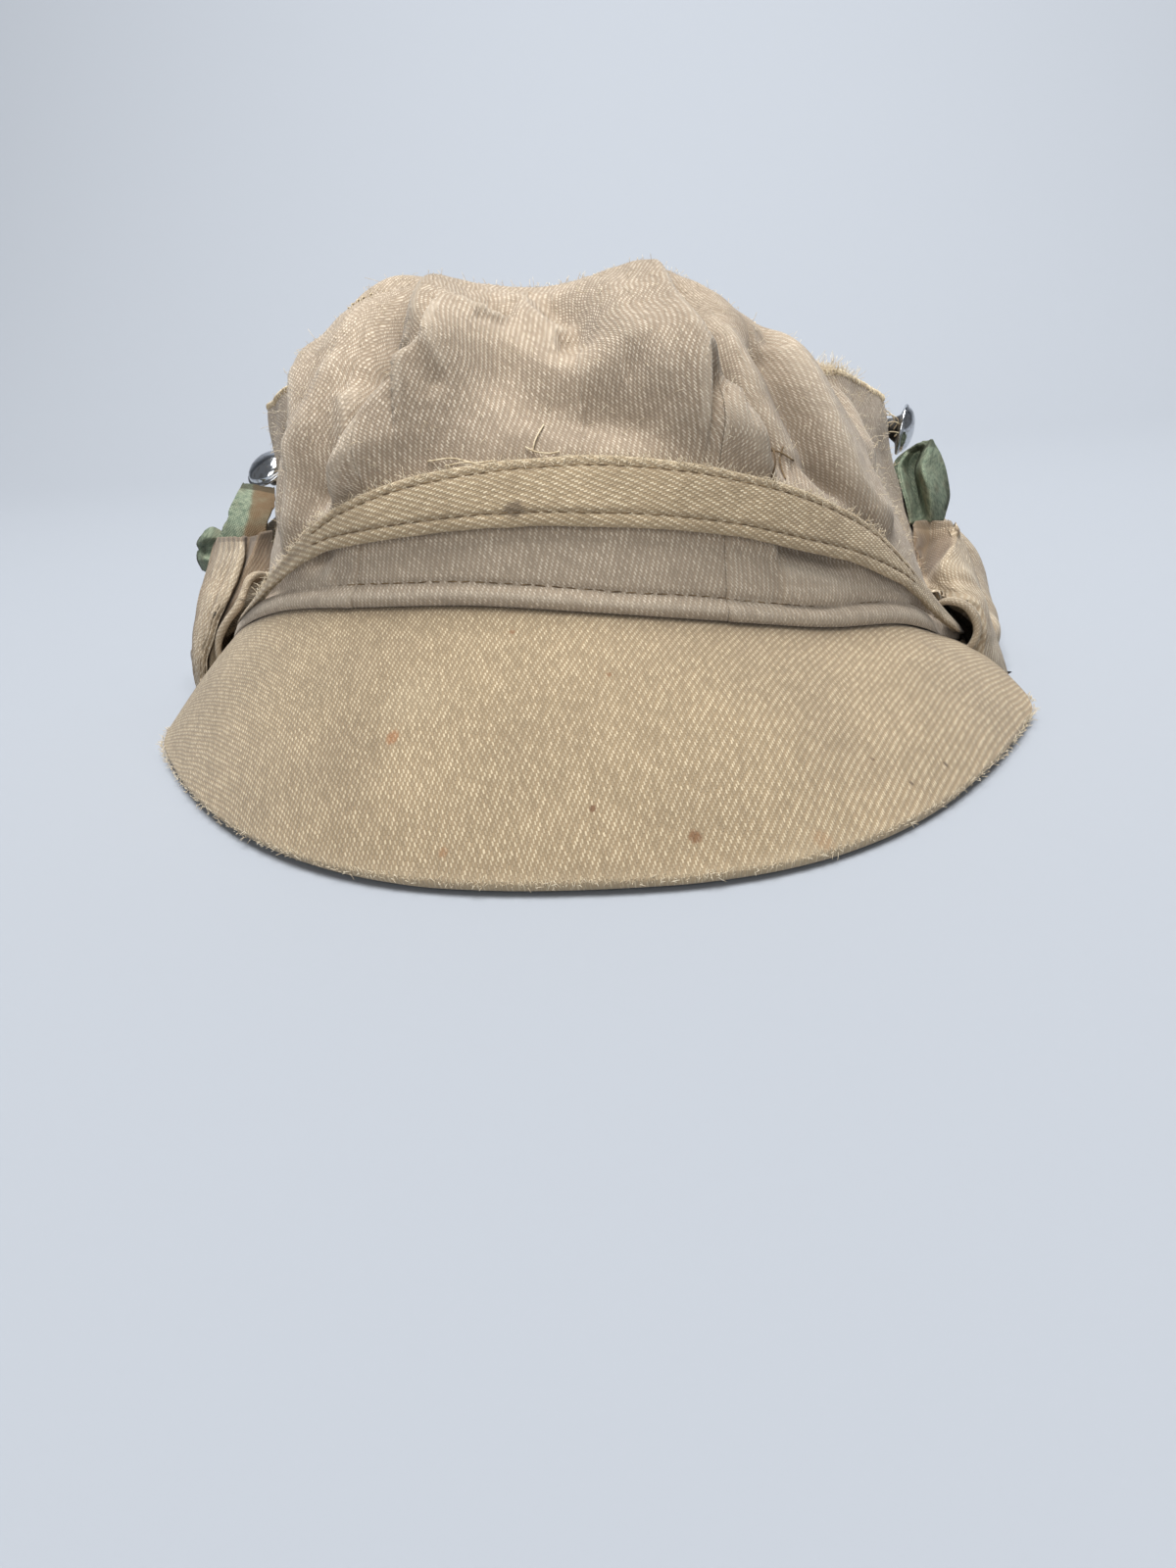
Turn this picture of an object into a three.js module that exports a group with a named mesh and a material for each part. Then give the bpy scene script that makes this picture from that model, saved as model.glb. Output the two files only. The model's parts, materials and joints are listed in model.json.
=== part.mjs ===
// A soft cotton field cap with a stiff peak and an ear-and-neck flap folded up outside.
// Millimetres, +Z up, front towards -Y, standing on z = 0 on the peak's front edge and the flap's fold.
// The crown is one soft surface of two numbers: an angle round the head (0 in front, positive
// towards +X) and a share of the way up (0 at the band's lower edge, 1 at the seam round the top
// panel, 2 at the middle of the top). Its panels are cut from that surface, and the strap and the
// flaps follow it. The folds are rows of a table that push the surface in or out.
import * as THREE from "three";
import { mergeVertices } from "three/addons/utils/BufferGeometryUtils.js";

// Driving dimensions
const RIM_HALF_WIDTH = 93.5;
const RIM_HALF_LENGTH = 97;
const CLOTH = 1.5;
const STRAP_CLOTH = 1.8;
const PEAK_BOARD = 2.8;
const TAPE_CLOTH = 1;
const SEAM_GAP = 0.3;
const PANEL_GAP = 0.5;
const FLAP_START = 77.5;
const PEAK_END = 76;
const PEAK_FRONT = 143.2;
const PEAK_HALF_SPAN = 100;
const PEAK_CORNER_BACK = 60.5;
const PEAK_TURN = 2.55;
const PEAK_ASIDE = 8; // the peak is pulled a little towards +X
const PEAK_LOPSIDED = 7;
const PEAK_CORNER = 0.16; // share of the half peak over which its corner is rounded off
const PEAK_CROWN = 3.5; // rise of the peak's middle above straight lines, and its loss at the ends
const PEAK_CROWN_LOSS = 1.5;
const PEAK_EDGE_HEIGHT = 2.1;
const PEAK_SEAM_DROP = 0.5;
const BUTTON_RADIUS = 6.5;
const STRAP_END = 76;
const LEFT_SEAM = -22; // angles of the two upright seams in front
const RIGHT_SEAM = 21.5;
const HEAD_CENTRE = new THREE.Vector3(2.2, 17.6, 0); // the head opening's centre, from the middle of the box

// Height of the band's lower edge round the head
const RIM_ROWS = [
  { angle: -180, height: 5 },
  { angle: -130, height: 5 },
  { angle: -100, height: 7 },
  { angle: -80, height: 12 },
  { angle: -65, height: 22 },
  { angle: -51, height: 30.5 },
  { angle: -38, height: 35.6 },
  { angle: -22, height: 38.2 },
  { angle: -8, height: 38.8 },
  { angle: 5, height: 36.6 },
  { angle: 20, height: 32.4 },
  { angle: 35, height: 27 },
  { angle: 50, height: 22.8 },
  { angle: 62, height: 19 },
  { angle: 80, height: 10 },
  { angle: 100, height: 7 },
  { angle: 130, height: 5 },
  { angle: 180, height: 5 },
];

// The seam round the top panel: where it lies at each angle, how far the wall swells out above the
// band (foot), how it rounds over below the seam (out, down) and how the top leaves it (in, up)
const SEAM_ROWS = [
  { angle: -180, x: 0, y: 80, z: 84, foot: 1, out: 4, down: 22, inward: 26, up: 5 },
  { angle: -135, x: -60, y: 52, z: 77, foot: -4, out: 4, down: 22, inward: 24, up: 12 },
  { angle: -95, x: -79.5, y: 2, z: 69, foot: -9, out: 1, down: 20, inward: 18, up: 18 },
  { angle: -72, x: -70, y: -24, z: 76, foot: -12, out: 4, down: 16, inward: 16, up: 16 },
  { angle: -56, x: -57, y: -36, z: 87, foot: -9, out: 9, down: 12, inward: 14, up: 11 },
  { angle: -40, x: -42, y: -47, z: 90, foot: -2, out: 18, down: 8, inward: 10, up: 10 },
  { angle: -24, x: -27, y: -45, z: 98.5, foot: 1, out: 34, down: 3, inward: 14, up: 1 },
  { angle: 0, x: -2, y: -45, z: 94.5, foot: 2, out: 34, down: 4, inward: 14, up: 1 },
  { angle: 22, x: 20, y: -45, z: 97.5, foot: 1, out: 34, down: 3, inward: 14, up: 1 },
  { angle: 40, x: 38, y: -44, z: 91.5, foot: -1, out: 24, down: 8, inward: 16, up: 5 },
  { angle: 56, x: 52, y: -34, z: 79, foot: -5, out: 12, down: 12, inward: 18, up: 9 },
  { angle: 72, x: 63, y: -22, z: 72, foot: -10, out: 6, down: 14, inward: 18, up: 11 },
  { angle: 95, x: 73, y: 2, z: 66, foot: -11, out: 3, down: 18, inward: 20, up: 14 },
  { angle: 135, x: 58, y: 52, z: 74, foot: -5, out: 4, down: 22, inward: 24, up: 12 },
  { angle: 180, x: 0, y: 80, z: 84, foot: 1, out: 4, down: 22, inward: 26, up: 5 },
];
const TOP_MIDDLE = new THREE.Vector3(-3, 10, 90);
const TOP_MIDDLE_FLAT = 30;
const FOOT_RISE = 0.45; // share of the wall's height where the foot's swell is set

// Strap across the front: heights of its two edges, and how far it stands off the band
const STRAP_ROWS = [
  { angle: -76, bottom: 17, top: 22, proud: 2.2 },
  { angle: -62, bottom: 27.5, top: 33, proud: 1.8 },
  { angle: -47, bottom: 36, top: 40.5, proud: 1 },
  { angle: -36, bottom: 44, top: 49.5, proud: 0.8 },
  { angle: -27, bottom: 49, top: 57, proud: 0.7 },
  { angle: -18, bottom: 51.7, top: 61.5, proud: 0.7 },
  { angle: 0, bottom: 53.3, top: 65.4, proud: 0.7 },
  { angle: 18, bottom: 49.7, top: 62.2, proud: 0.7 },
  { angle: 30, bottom: 43.9, top: 56.2, proud: 0.9 },
  { angle: 43, bottom: 36, top: 46.5, proud: 1.1 },
  { angle: 56, bottom: 27, top: 35, proud: 1 },
  { angle: 67, bottom: 21.5, top: 27.5, proud: 1.8 },
  { angle: 76, bottom: 16.5, top: 21.5, proud: 2.2 },
];

// The folded-up flap on each side, by angle from the front: width of the fold on the floor, its
// fullest swell and that point's height, a point further up, and its top edge (off the wall, height)
const FLAP_ROWS = {
  right: [
    { angle: 74, fold: 6, swell: 8, swellZ: 8, mid: 5, midZ: 18, off: 2.4, topZ: 27 },
    { angle: 84, fold: 8, swell: 10, swellZ: 9, mid: 4.5, midZ: 22, off: 3.2, topZ: 36 },
    { angle: 93, fold: 9, swell: 11, swellZ: 10, mid: 5, midZ: 24, off: 3, topZ: 37 },
    { angle: 104, fold: 9, swell: 11, swellZ: 11, mid: 6, midZ: 26, off: 2.8, topZ: 40 },
    { angle: 135, fold: 9, swell: 11, swellZ: 12, mid: 7, midZ: 26, off: 2.6, topZ: 38 },
    { angle: 180, fold: 9, swell: 11, swellZ: 12, mid: 7, midZ: 26, off: 2.6, topZ: 38 },
  ],
  left: [
    { angle: 74, fold: 6, swell: 8, swellZ: 9, mid: 4, midZ: 22, off: 2.4, topZ: 33 },
    { angle: 84, fold: 9, swell: 15, swellZ: 14, mid: 10, midZ: 29, off: 8, topZ: 43 },
    { angle: 93, fold: 9, swell: 15, swellZ: 15, mid: 10, midZ: 31, off: 5.5, topZ: 49 },
    { angle: 104, fold: 9, swell: 13, swellZ: 13, mid: 9, midZ: 29, off: 3, topZ: 46 },
    { angle: 135, fold: 9, swell: 12, swellZ: 12, mid: 8, midZ: 26, off: 2.6, topZ: 39 },
    { angle: 180, fold: 9, swell: 11, swellZ: 12, mid: 7, midZ: 26, off: 2.6, topZ: 38 },
  ],
};
// Shares of the flap's width where it leaves the band, meets the floor, leaves it, is fullest, and ends
const FLAP_KNOTS = [0, 0.16, 0.3, 0.52, 0.78, 1];
const FLAP_FORWARD = 16; // how far the fold's front corner reaches forward under the peak's end
const FLAP_FORWARD_FADE = 9;
const FLAP_FRONT = 74;
const FLAP_FORWARD_TOP = 0.9; // share of the flap's width where that reach ends
const FLAP_FORWARD_IN = 0.15; // and how much of it turns in towards the head
const FLAP_ON_FLOOR = [0.35, 0.85]; // shares of the fold's width between which it lies on the floor

// Folds in the crown: three points along each (angle, share up), its height, and the widths of its
// steep side and of its soft side. A positive steep side lies towards larger angles.
const FOLD_ROWS = [
  { name: "left crest", a: [-18, 0.9], b: [-15.5, 0.74], c: [-15, 0.62], height: 3.4, steep: -4.5, soft: 15 },
  { name: "left fold", a: [-13, 0.57], b: [-19, 0.45], c: [-23.5, 0.3], height: 3, steep: -4.5, soft: 11 },
  { name: "right crest", a: [19, 0.88], b: [18.5, 0.68], c: [20, 0.54], height: 3.4, steep: 4.5, soft: 15 },
  { name: "right fold", a: [20.5, 0.53], b: [25, 0.44], c: [27, 0.33], height: 3, steep: 4.5, soft: 11 },
  { name: "right edge", a: [39.5, 0.76], b: [41.5, 0.54], c: [39, 0.31], height: 2.6, steep: 4.5, soft: 9 },
  { name: "right back", a: [58, 0.92], b: [60.5, 0.78], c: [57, 0.6], height: 1.8, steep: 4.5, soft: 7 },
  { name: "left soft fold", a: [-49, 0.82], b: [-36, 0.5], c: [-36, 0.2], height: 1.8, steep: -5, soft: 6 },
  { name: "front hollow", a: [-3, 0.58], b: [3, 0.5], c: [12, 0.41], height: -2.6, steep: 8, soft: 8 },
  { name: "front pinch", a: [-2, 0.84], b: [2.5, 0.77], c: [5, 0.68], height: -2, steep: 5, soft: 5 },
];
const FOLD_RUN_IN = 8; // height above the strap where the folds have their full size
const FOLD_FADE_START = 0.95; // shares up the crown between which the folds die away
const FOLD_FADE_END = 1.3;
const DEGREE_WIDTH = 1.45; // millimetres of cloth to a degree, half way up the crown
const WALL_LENGTH = 84; // cloth from the band's edge to the top seam in front
const WELT_HEIGHT = 4.2;
const WELT_SWELL = 1.1;

// Curve through one column of a table, with the slope at each row taken from its neighbours
function along(rows, column, x) {
  const last = rows.length - 1;
  const step = (i) => rows[i + 1].angle - rows[i].angle;
  const rise = (i) => (rows[i + 1][column] - rows[i][column]) / step(i);
  const closed = rows[last].angle - rows[0].angle === 360;
  const slope = (i) => {
    if (i > 0 && i < last) {
      return (rise(i - 1) * step(i) + rise(i) * step(i - 1)) / (step(i) + step(i - 1));
    }
    if (closed) {
      return (rise(0) * step(last - 1) + rise(last - 1) * step(0)) / (step(last - 1) + step(0));
    }
    return rise(i === 0 ? 0 : last - 1);
  };
  let i = 0;
  while (i < last - 1 && rows[i + 1].angle < x) i += 1;
  const h = step(i);
  const t = (x - rows[i].angle) / h;
  const ease = 3 * t ** 2 - 2 * t ** 3;
  const start = (1 - ease) * rows[i][column] + (t ** 3 - 2 * t ** 2 + t) * h * slope(i);
  const end = ease * rows[i + 1][column] + (t ** 3 - t ** 2) * h * slope(i + 1);
  return start + end;
}

const radians = THREE.MathUtils.degToRad;
const smoothstep = THREE.MathUtils.smoothstep;
const outward = (angle) => new THREE.Vector3(Math.sin(radians(angle)), -Math.cos(radians(angle)), 0);

function rimPoint(angle) {
  const x = RIM_HALF_WIDTH * Math.sin(radians(angle));
  const y = -RIM_HALF_LENGTH * Math.cos(radians(angle));
  return new THREE.Vector3(x, y, along(RIM_ROWS, "height", angle));
}

// The crown without folds: one cubic curve up the wall and one over the top panel, at each angle
function smoothCrown(angle, share) {
  const at = (column) => along(SEAM_ROWS, column, angle);
  const out = outward(angle);
  const seam = new THREE.Vector3(at("x"), at("y"), at("z"));
  if (share <= 1) {
    const rim = rimPoint(angle);
    const low = rim.clone().addScaledVector(out, at("foot"));
    low.z += FOOT_RISE * (seam.z - rim.z);
    const high = seam.clone().addScaledVector(out, at("out"));
    high.z -= at("down");
    return new THREE.CubicBezierCurve3(rim, low, high, seam).getPoint(share);
  }
  const leaving = seam.clone().addScaledVector(out, -at("inward"));
  leaving.z += at("up");
  const arriving = TOP_MIDDLE.clone().addScaledVector(out, TOP_MIDDLE_FLAT);
  return new THREE.CubicBezierCurve3(seam, leaving, arriving, TOP_MIDDLE).getPoint(share - 1);
}

// How far one fold lifts the cloth: the nearest point of its curve, and a rounded ridge beside it
function foldLift(fold, angle, share) {
  const flat = ([a, s]) => new THREE.Vector2(a * DEGREE_WIDTH, s * WALL_LENGTH);
  const here = flat([angle, share]);
  const middle = flat(fold.b).multiplyScalar(2).sub(flat(fold.a).add(flat(fold.c)).multiplyScalar(0.5));
  const curve = new THREE.QuadraticBezierCurve(flat(fold.a), middle, flat(fold.c));
  const steps = 12;
  let nearest = Infinity;
  let side = 0;
  for (let i = 0; i <= steps; i += 1) {
    const point = curve.getPoint(i / steps);
    const distance = point.distanceTo(here);
    if (distance < nearest) {
      nearest = distance;
      side = here.x - point.x;
    }
  }
  const steepSide = side * Math.sign(fold.steep) > 0;
  const width = steepSide ? Math.abs(fold.steep) : fold.soft;
  return fold.height * Math.exp(-((nearest / width) ** 2));
}

// Folds start above the strap, and lie flat on the top seam's back half
function foldedLift(angle, share) {
  if (share > FOLD_FADE_END) return 0;
  const strapTop = Math.abs(angle) < STRAP_END ? along(STRAP_ROWS, "top", angle) : 0;
  const free = smoothstep(smoothCrown(angle, share).z, strapTop, strapTop + FOLD_RUN_IN);
  const fading = 1 - smoothstep(share, FOLD_FADE_START, FOLD_FADE_END);
  const lift = FOLD_ROWS.reduce((sum, fold) => sum + foldLift(fold, angle, share), 0);
  return lift * free * fading;
}

// The rolled welt along the band's lower edge
function weltLift(angle, share) {
  const height = smoothCrown(angle, share).z - rimPoint(angle).z;
  if (share > 0.5 || height > WELT_HEIGHT) return 0;
  return WELT_SWELL * Math.sin((Math.PI * height) / WELT_HEIGHT);
}

function normalOf(surface, u, v, du, dv) {
  const acrossU = surface(u + du, v).sub(surface(u - du, v));
  const acrossV = surface(u, v + dv).sub(surface(u, v - dv));
  return acrossU.cross(acrossV).normalize();
}

const wrapped = (angle) => ((angle + 540) % 360) - 180;
const anyCrown = (angle, share) => {
  const over = share > 2;
  return smoothCrown(wrapped(over ? angle + 180 : angle), over ? 4 - share : Math.max(share, 0));
};

function crownPoint(angle, share) {
  const point = anyCrown(angle, share);
  const lift = foldedLift(wrapped(angle), Math.min(share, 2)) + weltLift(wrapped(angle), Math.max(share, 0));
  if (lift === 0) return point;
  return point.addScaledVector(normalOf(anyCrown, angle, share, 1, 0.02), lift);
}

// A point of the smooth wall at a given height, moved outward
function wallPoint(angle, height, off) {
  let low = 0;
  let high = 1;
  for (let i = 0; i < 24; i += 1) {
    const middle = (low + high) / 2;
    if (smoothCrown(angle, middle).z < height) low = middle;
    else high = middle;
  }
  return smoothCrown(angle, (low + high) / 2).addScaledVector(outward(angle), off);
}

// A sheet of cloth as a closed solid: a grid of points, the same grid moved inward by the
// thickness, and the edges between them. With a loop the first and last columns are one, and
// with a pole the last row is one point.
function sheet({ surface, us, vs, thickness, du, dv, loop = false, pole = false, floor = false }) {
  const positions = [];
  const columns = us.length;
  const rows = vs.length;
  const outer = [];
  const inner = [];
  for (const u of us) {
    for (const v of vs) {
      const point = surface(u, v);
      const under = point.clone().addScaledVector(normalOf(surface, u, v, du, dv), -thickness);
      if (floor) {
        point.z = Math.max(point.z, 0);
        under.z = Math.max(under.z, point.z > 0.01 ? 0 : thickness);
      }
      outer.push(point);
      inner.push(under);
    }
  }
  const index = (i, j) => (i % columns) * rows + j;
  const corner = (side, i, j) => {
    const column = pole && j === rows - 1 ? 0 : i;
    const point = side[index(column, j)];
    positions.push(point.x, point.y, point.z);
  };
  const quad = (a, b, c, d) => {
    for (const [side, i, j] of [a, b, c, a, c, d]) corner(side, i, j);
  };
  const spans = loop ? columns : columns - 1;
  for (let i = 0; i < spans; i += 1) {
    for (let j = 0; j < rows - 1; j += 1) {
      const k = i + 1;
      const m = j + 1;
      if (pole && m === rows - 1) {
        for (const [side, p, q] of [[outer, i, j], [outer, k, j], [outer, i, m]]) corner(side, p, q);
        for (const [side, p, q] of [[inner, k, j], [inner, i, j], [inner, i, m]]) corner(side, p, q);
      } else {
        quad([outer, i, j], [outer, k, j], [outer, k, m], [outer, i, m]);
        quad([inner, k, j], [inner, i, j], [inner, i, m], [inner, k, m]);
      }
    }
    quad([inner, i, 0], [inner, i + 1, 0], [outer, i + 1, 0], [outer, i, 0]);
    if (!pole) {
      const j = rows - 1;
      quad([outer, i, j], [outer, i + 1, j], [inner, i + 1, j], [inner, i, j]);
    }
  }
  if (!loop) {
    const e = columns - 1;
    for (let j = 0; j < rows - 1; j += 1) {
      quad([outer, 0, j], [outer, 0, j + 1], [inner, 0, j + 1], [inner, 0, j]);
      quad([inner, e, j], [inner, e, j + 1], [outer, e, j + 1], [outer, e, j]);
    }
  }
  const geometry = new THREE.BufferGeometry();
  geometry.setAttribute("position", new THREE.Float32BufferAttribute(positions, 3));
  const merged = mergeVertices(geometry, 1e-4);
  merged.computeVertexNormals();
  return merged;
}

// Evenly spaced values from one number to another
function spread(from, to, count) {
  return Array.from({ length: count + 1 }, (_, i) => from + ((to - from) * i) / count);
}

const cloth = (color) => new THREE.MeshStandardMaterial({ color, roughness: 0.95, metalness: 0 });
const MATERIALS = {
  crown: cloth(0xa8937a),
  band: cloth(0xae9468),
  peak: cloth(0xb59b68),
  flap: cloth(0xa78e68),
  tape: cloth(0x5f6f58),
  button: new THREE.MeshStandardMaterial({ color: 0xb9bcc0, roughness: 0.25, metalness: 1 }),
  thread: cloth(0x9a8f78),
};

const cap = new THREE.Group();
cap.name = "field_cap";
cap.position.copy(HEAD_CENTRE);

function add(name, geometry, material) {
  const mesh = new THREE.Mesh(geometry, material);
  mesh.name = name;
  cap.add(mesh);
  return mesh;
}

// Crown panels: a front one between the two upright seams, and one on each side to the back seam
const HALF_GAP = PANEL_GAP / 2 / DEGREE_WIDTH;
const TOP_GAP = PANEL_GAP / 2 / WALL_LENGTH;
const WALL_SHARES = [0, 0.022, 0.05, 0.075, 0.17, 0.27, 0.37, 0.47, 0.57, 0.67, 0.78, 0.89, 1 - TOP_GAP];
const PANEL_ANGLES = {
  crown_front: spread(LEFT_SEAM + HALF_GAP, RIGHT_SEAM - HALF_GAP, 16),
  crown_left: [
    ...spread(-180 + HALF_GAP, -110, 9).slice(0, -1),
    ...spread(-110, -60, 11).slice(0, -1),
    ...spread(-60, LEFT_SEAM - HALF_GAP, 11),
  ],
  crown_right: [
    ...spread(RIGHT_SEAM + HALF_GAP, 60, 11).slice(0, -1),
    ...spread(60, 110, 11).slice(0, -1),
    ...spread(110, 180 - HALF_GAP, 9),
  ],
};
for (const [name, us] of Object.entries(PANEL_ANGLES)) {
  const geometry = sheet({ surface: crownPoint, us, vs: WALL_SHARES, thickness: CLOTH, du: 1, dv: 0.02 });
  add(name, geometry, MATERIALS.crown);
}
// The top's edge has its corners beside those of the wall panels
const topAngles = [PANEL_ANGLES.crown_left, PANEL_ANGLES.crown_front, PANEL_ANGLES.crown_right]
  .flatMap((angles) => angles.slice(1))
  .map((angle) => Math.min(angle, 180));
add(
  "crown_top",
  sheet({
    surface: crownPoint,
    us: topAngles,
    vs: [1 + TOP_GAP, 1.12, 1.28, 1.48, 1.72, 2],
    thickness: CLOTH,
    du: 1,
    dv: 0.02,
    loop: true,
    pole: true,
  }),
  MATERIALS.crown,
);

// Strap: folded cloth that follows the wall across the front
function strapPoint(angle, share) {
  const low = along(STRAP_ROWS, "bottom", angle);
  const high = along(STRAP_ROWS, "top", angle);
  const off = along(STRAP_ROWS, "proud", angle) + STRAP_CLOTH;
  return wallPoint(angle, THREE.MathUtils.lerp(low, high, share), off);
}
add(
  "strap",
  sheet({
    surface: strapPoint,
    us: spread(-STRAP_END, STRAP_END, 44),
    vs: [0, 0.5, 1],
    thickness: STRAP_CLOTH,
    du: 1,
    dv: 0.1,
  }),
  MATERIALS.band,
);

// Peak: straight lines from the band's lower edge to a curved outer edge, a little crowned
function peakPoint(turn, share) {
  const seam = rimPoint(PEAK_END * turn);
  seam.z -= PEAK_SEAM_DROP;
  const across = Math.sin((Math.PI / 2) * turn);
  const edge = new THREE.Vector3(
    PEAK_ASIDE + PEAK_HALF_SPAN * across - PEAK_LOPSIDED * across * across,
    -PEAK_FRONT + (PEAK_FRONT - PEAK_CORNER_BACK) * Math.abs(across) ** PEAK_TURN,
    PEAK_EDGE_HEIGHT,
  );
  const past = Math.max((Math.abs(turn) - 1 + PEAK_CORNER) / PEAK_CORNER, 0);
  const reach = (1 - share) * (1 - PEAK_CORNER * past ** 2.5);
  const crowned = (PEAK_CROWN - PEAK_CROWN_LOSS * Math.abs(turn)) * 4 * reach * (1 - reach);
  const point = seam.lerp(edge, reach);
  point.z += crowned;
  return point;
}
add(
  "peak",
  sheet({
    surface: peakPoint,
    us: spread(-1, 1, 30),
    vs: spread(0, 1, 6),
    thickness: PEAK_BOARD,
    du: 0.01,
    dv: 0.02,
    floor: true,
  }),
  MATERIALS.peak,
);

// Flap: from the band's lower edge down to the floor, round a fold, and up outside the wall
function flapPoint(side, angle, share) {
  const rows = FLAP_ROWS[side];
  const sign = side === "right" ? 1 : -1;
  const row = (column) => along(rows, column, angle);
  const rim = rimPoint(sign * angle);
  const out = outward(sign * angle);
  const top = wallPoint(sign * angle, row("topZ"), row("off"));
  const topOut = top.clone().sub(rim).dot(out);
  const fold = row("fold");
  const knots = [
    { out: 0, z: rim.z - SEAM_GAP },
    { out: FLAP_ON_FLOOR[0] * fold, z: 0 },
    { out: FLAP_ON_FLOOR[1] * fold, z: -0.2 },
    { out: row("swell"), z: row("swellZ") },
    { out: row("mid"), z: row("midZ") },
    { out: topOut, z: row("topZ") },
  ].map((knot, i) => ({ ...knot, angle: FLAP_KNOTS[i] }));
  const point = rim.clone().addScaledVector(out, along(knots, "out", share));
  point.z = Math.max(along(knots, "z", share), 0);
  const near = Math.exp(-(((angle - FLAP_FRONT) / FLAP_FORWARD_FADE) ** 2));
  const forward = FLAP_FORWARD * near * Math.sin(Math.PI * Math.min(share / FLAP_FORWARD_TOP, 1));
  point.y -= forward;
  point.x -= sign * FLAP_FORWARD_IN * forward;
  return point;
}
const FLAP_SHARES = [0, 0.08, 0.16, 0.23, 0.3, 0.41, 0.52, 0.65, 0.78, 0.9, 1];
for (const side of ["left", "right"]) {
  const sign = side === "right" ? 1 : -1;
  const angles = [...spread(FLAP_START, 110, 11).slice(0, -1), ...spread(110, 180 - HALF_GAP, 10)];
  const us = sign > 0 ? angles : angles.map((angle) => -angle).reverse();
  const surface = (u, v) => flapPoint(side, sign * u, v);
  const geometry = sheet({ surface, us, vs: FLAP_SHARES, thickness: CLOTH, du: 0.5, dv: 0.02, floor: true });
  add(`flap_${side}`, geometry, MATERIALS.flap);
}

// Tapes: a ribbon along a smooth path of x and z, from one y to the other
const TAPES = {
  tape_left: {
    path: [
      [-83.5, 52.7],
      [-90.4, 48.1],
      [-97.4, 41.1],
      [-103, 40.7],
      [-107.2, 37.1],
      [-107.4, 32.3],
      [-104.6, 30.7],
    ],
    from: -6,
    to: 4,
  },
  tape_right: {
    path: [
      [83.2, 38.1],
      [80.2, 43.5],
      [79.8, 49],
      [84.6, 54],
      [89.6, 50.5],
      [91.4, 44],
      [88.4, 38.6],
      [86.2, 39.2],
    ],
    from: -8,
    to: 3,
  },
};
for (const [name, tape] of Object.entries(TAPES)) {
  const curve = new THREE.CatmullRomCurve3(tape.path.map(([x, z]) => new THREE.Vector3(x, 0, z)));
  const surface = (u, v) => {
    const point = curve.getPoint(THREE.MathUtils.clamp(v, 0, 1));
    point.y = u;
    return point;
  };
  const us = spread(tape.from, tape.to, 3);
  add(
    name,
    sheet({ surface, us, vs: spread(0, 1, 22), thickness: TAPE_CLOTH, du: 0.5, dv: 0.01 }),
    MATERIALS.tape,
  );
}

// Buttons: a domed disc, turned about its axis
const BUTTONS = {
  left: { centre: [-89, 16, 54], facing: [-0.3, -0.55, 0.78], wall: [-102, 52] },
  right: { centre: [83.4, 16, 54.7], facing: [0.97, -0.14, -0.2], wall: [102, 56] },
};
const BUTTON_BACK = 1.6;
const BUTTON_DOME = 3;
const BUTTON_HUB = 1.7;
// From the back of the hub, out under the disc, round its edge and over a quarter ellipse of dome
const BUTTON_PROFILE = [
  new THREE.Vector2(0, -BUTTON_BACK),
  new THREE.Vector2(BUTTON_HUB, -BUTTON_BACK),
  new THREE.Vector2(BUTTON_HUB + 0.5, -0.6),
  new THREE.Vector2(BUTTON_RADIUS - 0.8, -0.4),
  new THREE.Vector2(BUTTON_RADIUS - 0.1, -0.3),
  ...new THREE.EllipseCurve(0, 0.2, BUTTON_RADIUS, BUTTON_DOME, 0, Math.PI / 2).getPoints(5),
];
BUTTON_PROFILE.at(-1).x = 0;
const SHANK_RADIUS = 1.3;
const SHANK_SHORT = 1; // share of its radius that the shank stops short of the slanting wall
for (const [side, row] of Object.entries(BUTTONS)) {
  const disc = add(`button_${side}`, new THREE.LatheGeometry(BUTTON_PROFILE, 22), MATERIALS.button);
  const centre = new THREE.Vector3(...row.centre);
  const facing = new THREE.Vector3(...row.facing).normalize();
  const up = new THREE.Vector3(0, 1, 0);
  disc.position.copy(centre);
  disc.quaternion.setFromUnitVectors(up, facing);
  // The thread shank runs from the disc's back to the wall
  const end = wallPoint(row.wall[0], row.wall[1], 0);
  const slant = end.clone().sub(centre).normalize().dot(facing);
  const clearance = SEAM_GAP + SHANK_RADIUS * Math.sqrt(1 - slant * slant);
  const start = centre.clone().addScaledVector(facing, -BUTTON_BACK - clearance);
  const way = end.clone().sub(start);
  const length = way.length() - SEAM_GAP - SHANK_RADIUS * SHANK_SHORT;
  way.normalize();
  const stem = new THREE.CylinderGeometry(SHANK_RADIUS, SHANK_RADIUS, length, 10);
  const shank = add(`shank_${side}`, stem, MATERIALS.thread);
  shank.position.copy(start).addScaledVector(way, length / 2);
  shank.quaternion.setFromUnitVectors(up, way);
}

export default cap;
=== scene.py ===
# %% [markdown]
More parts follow.
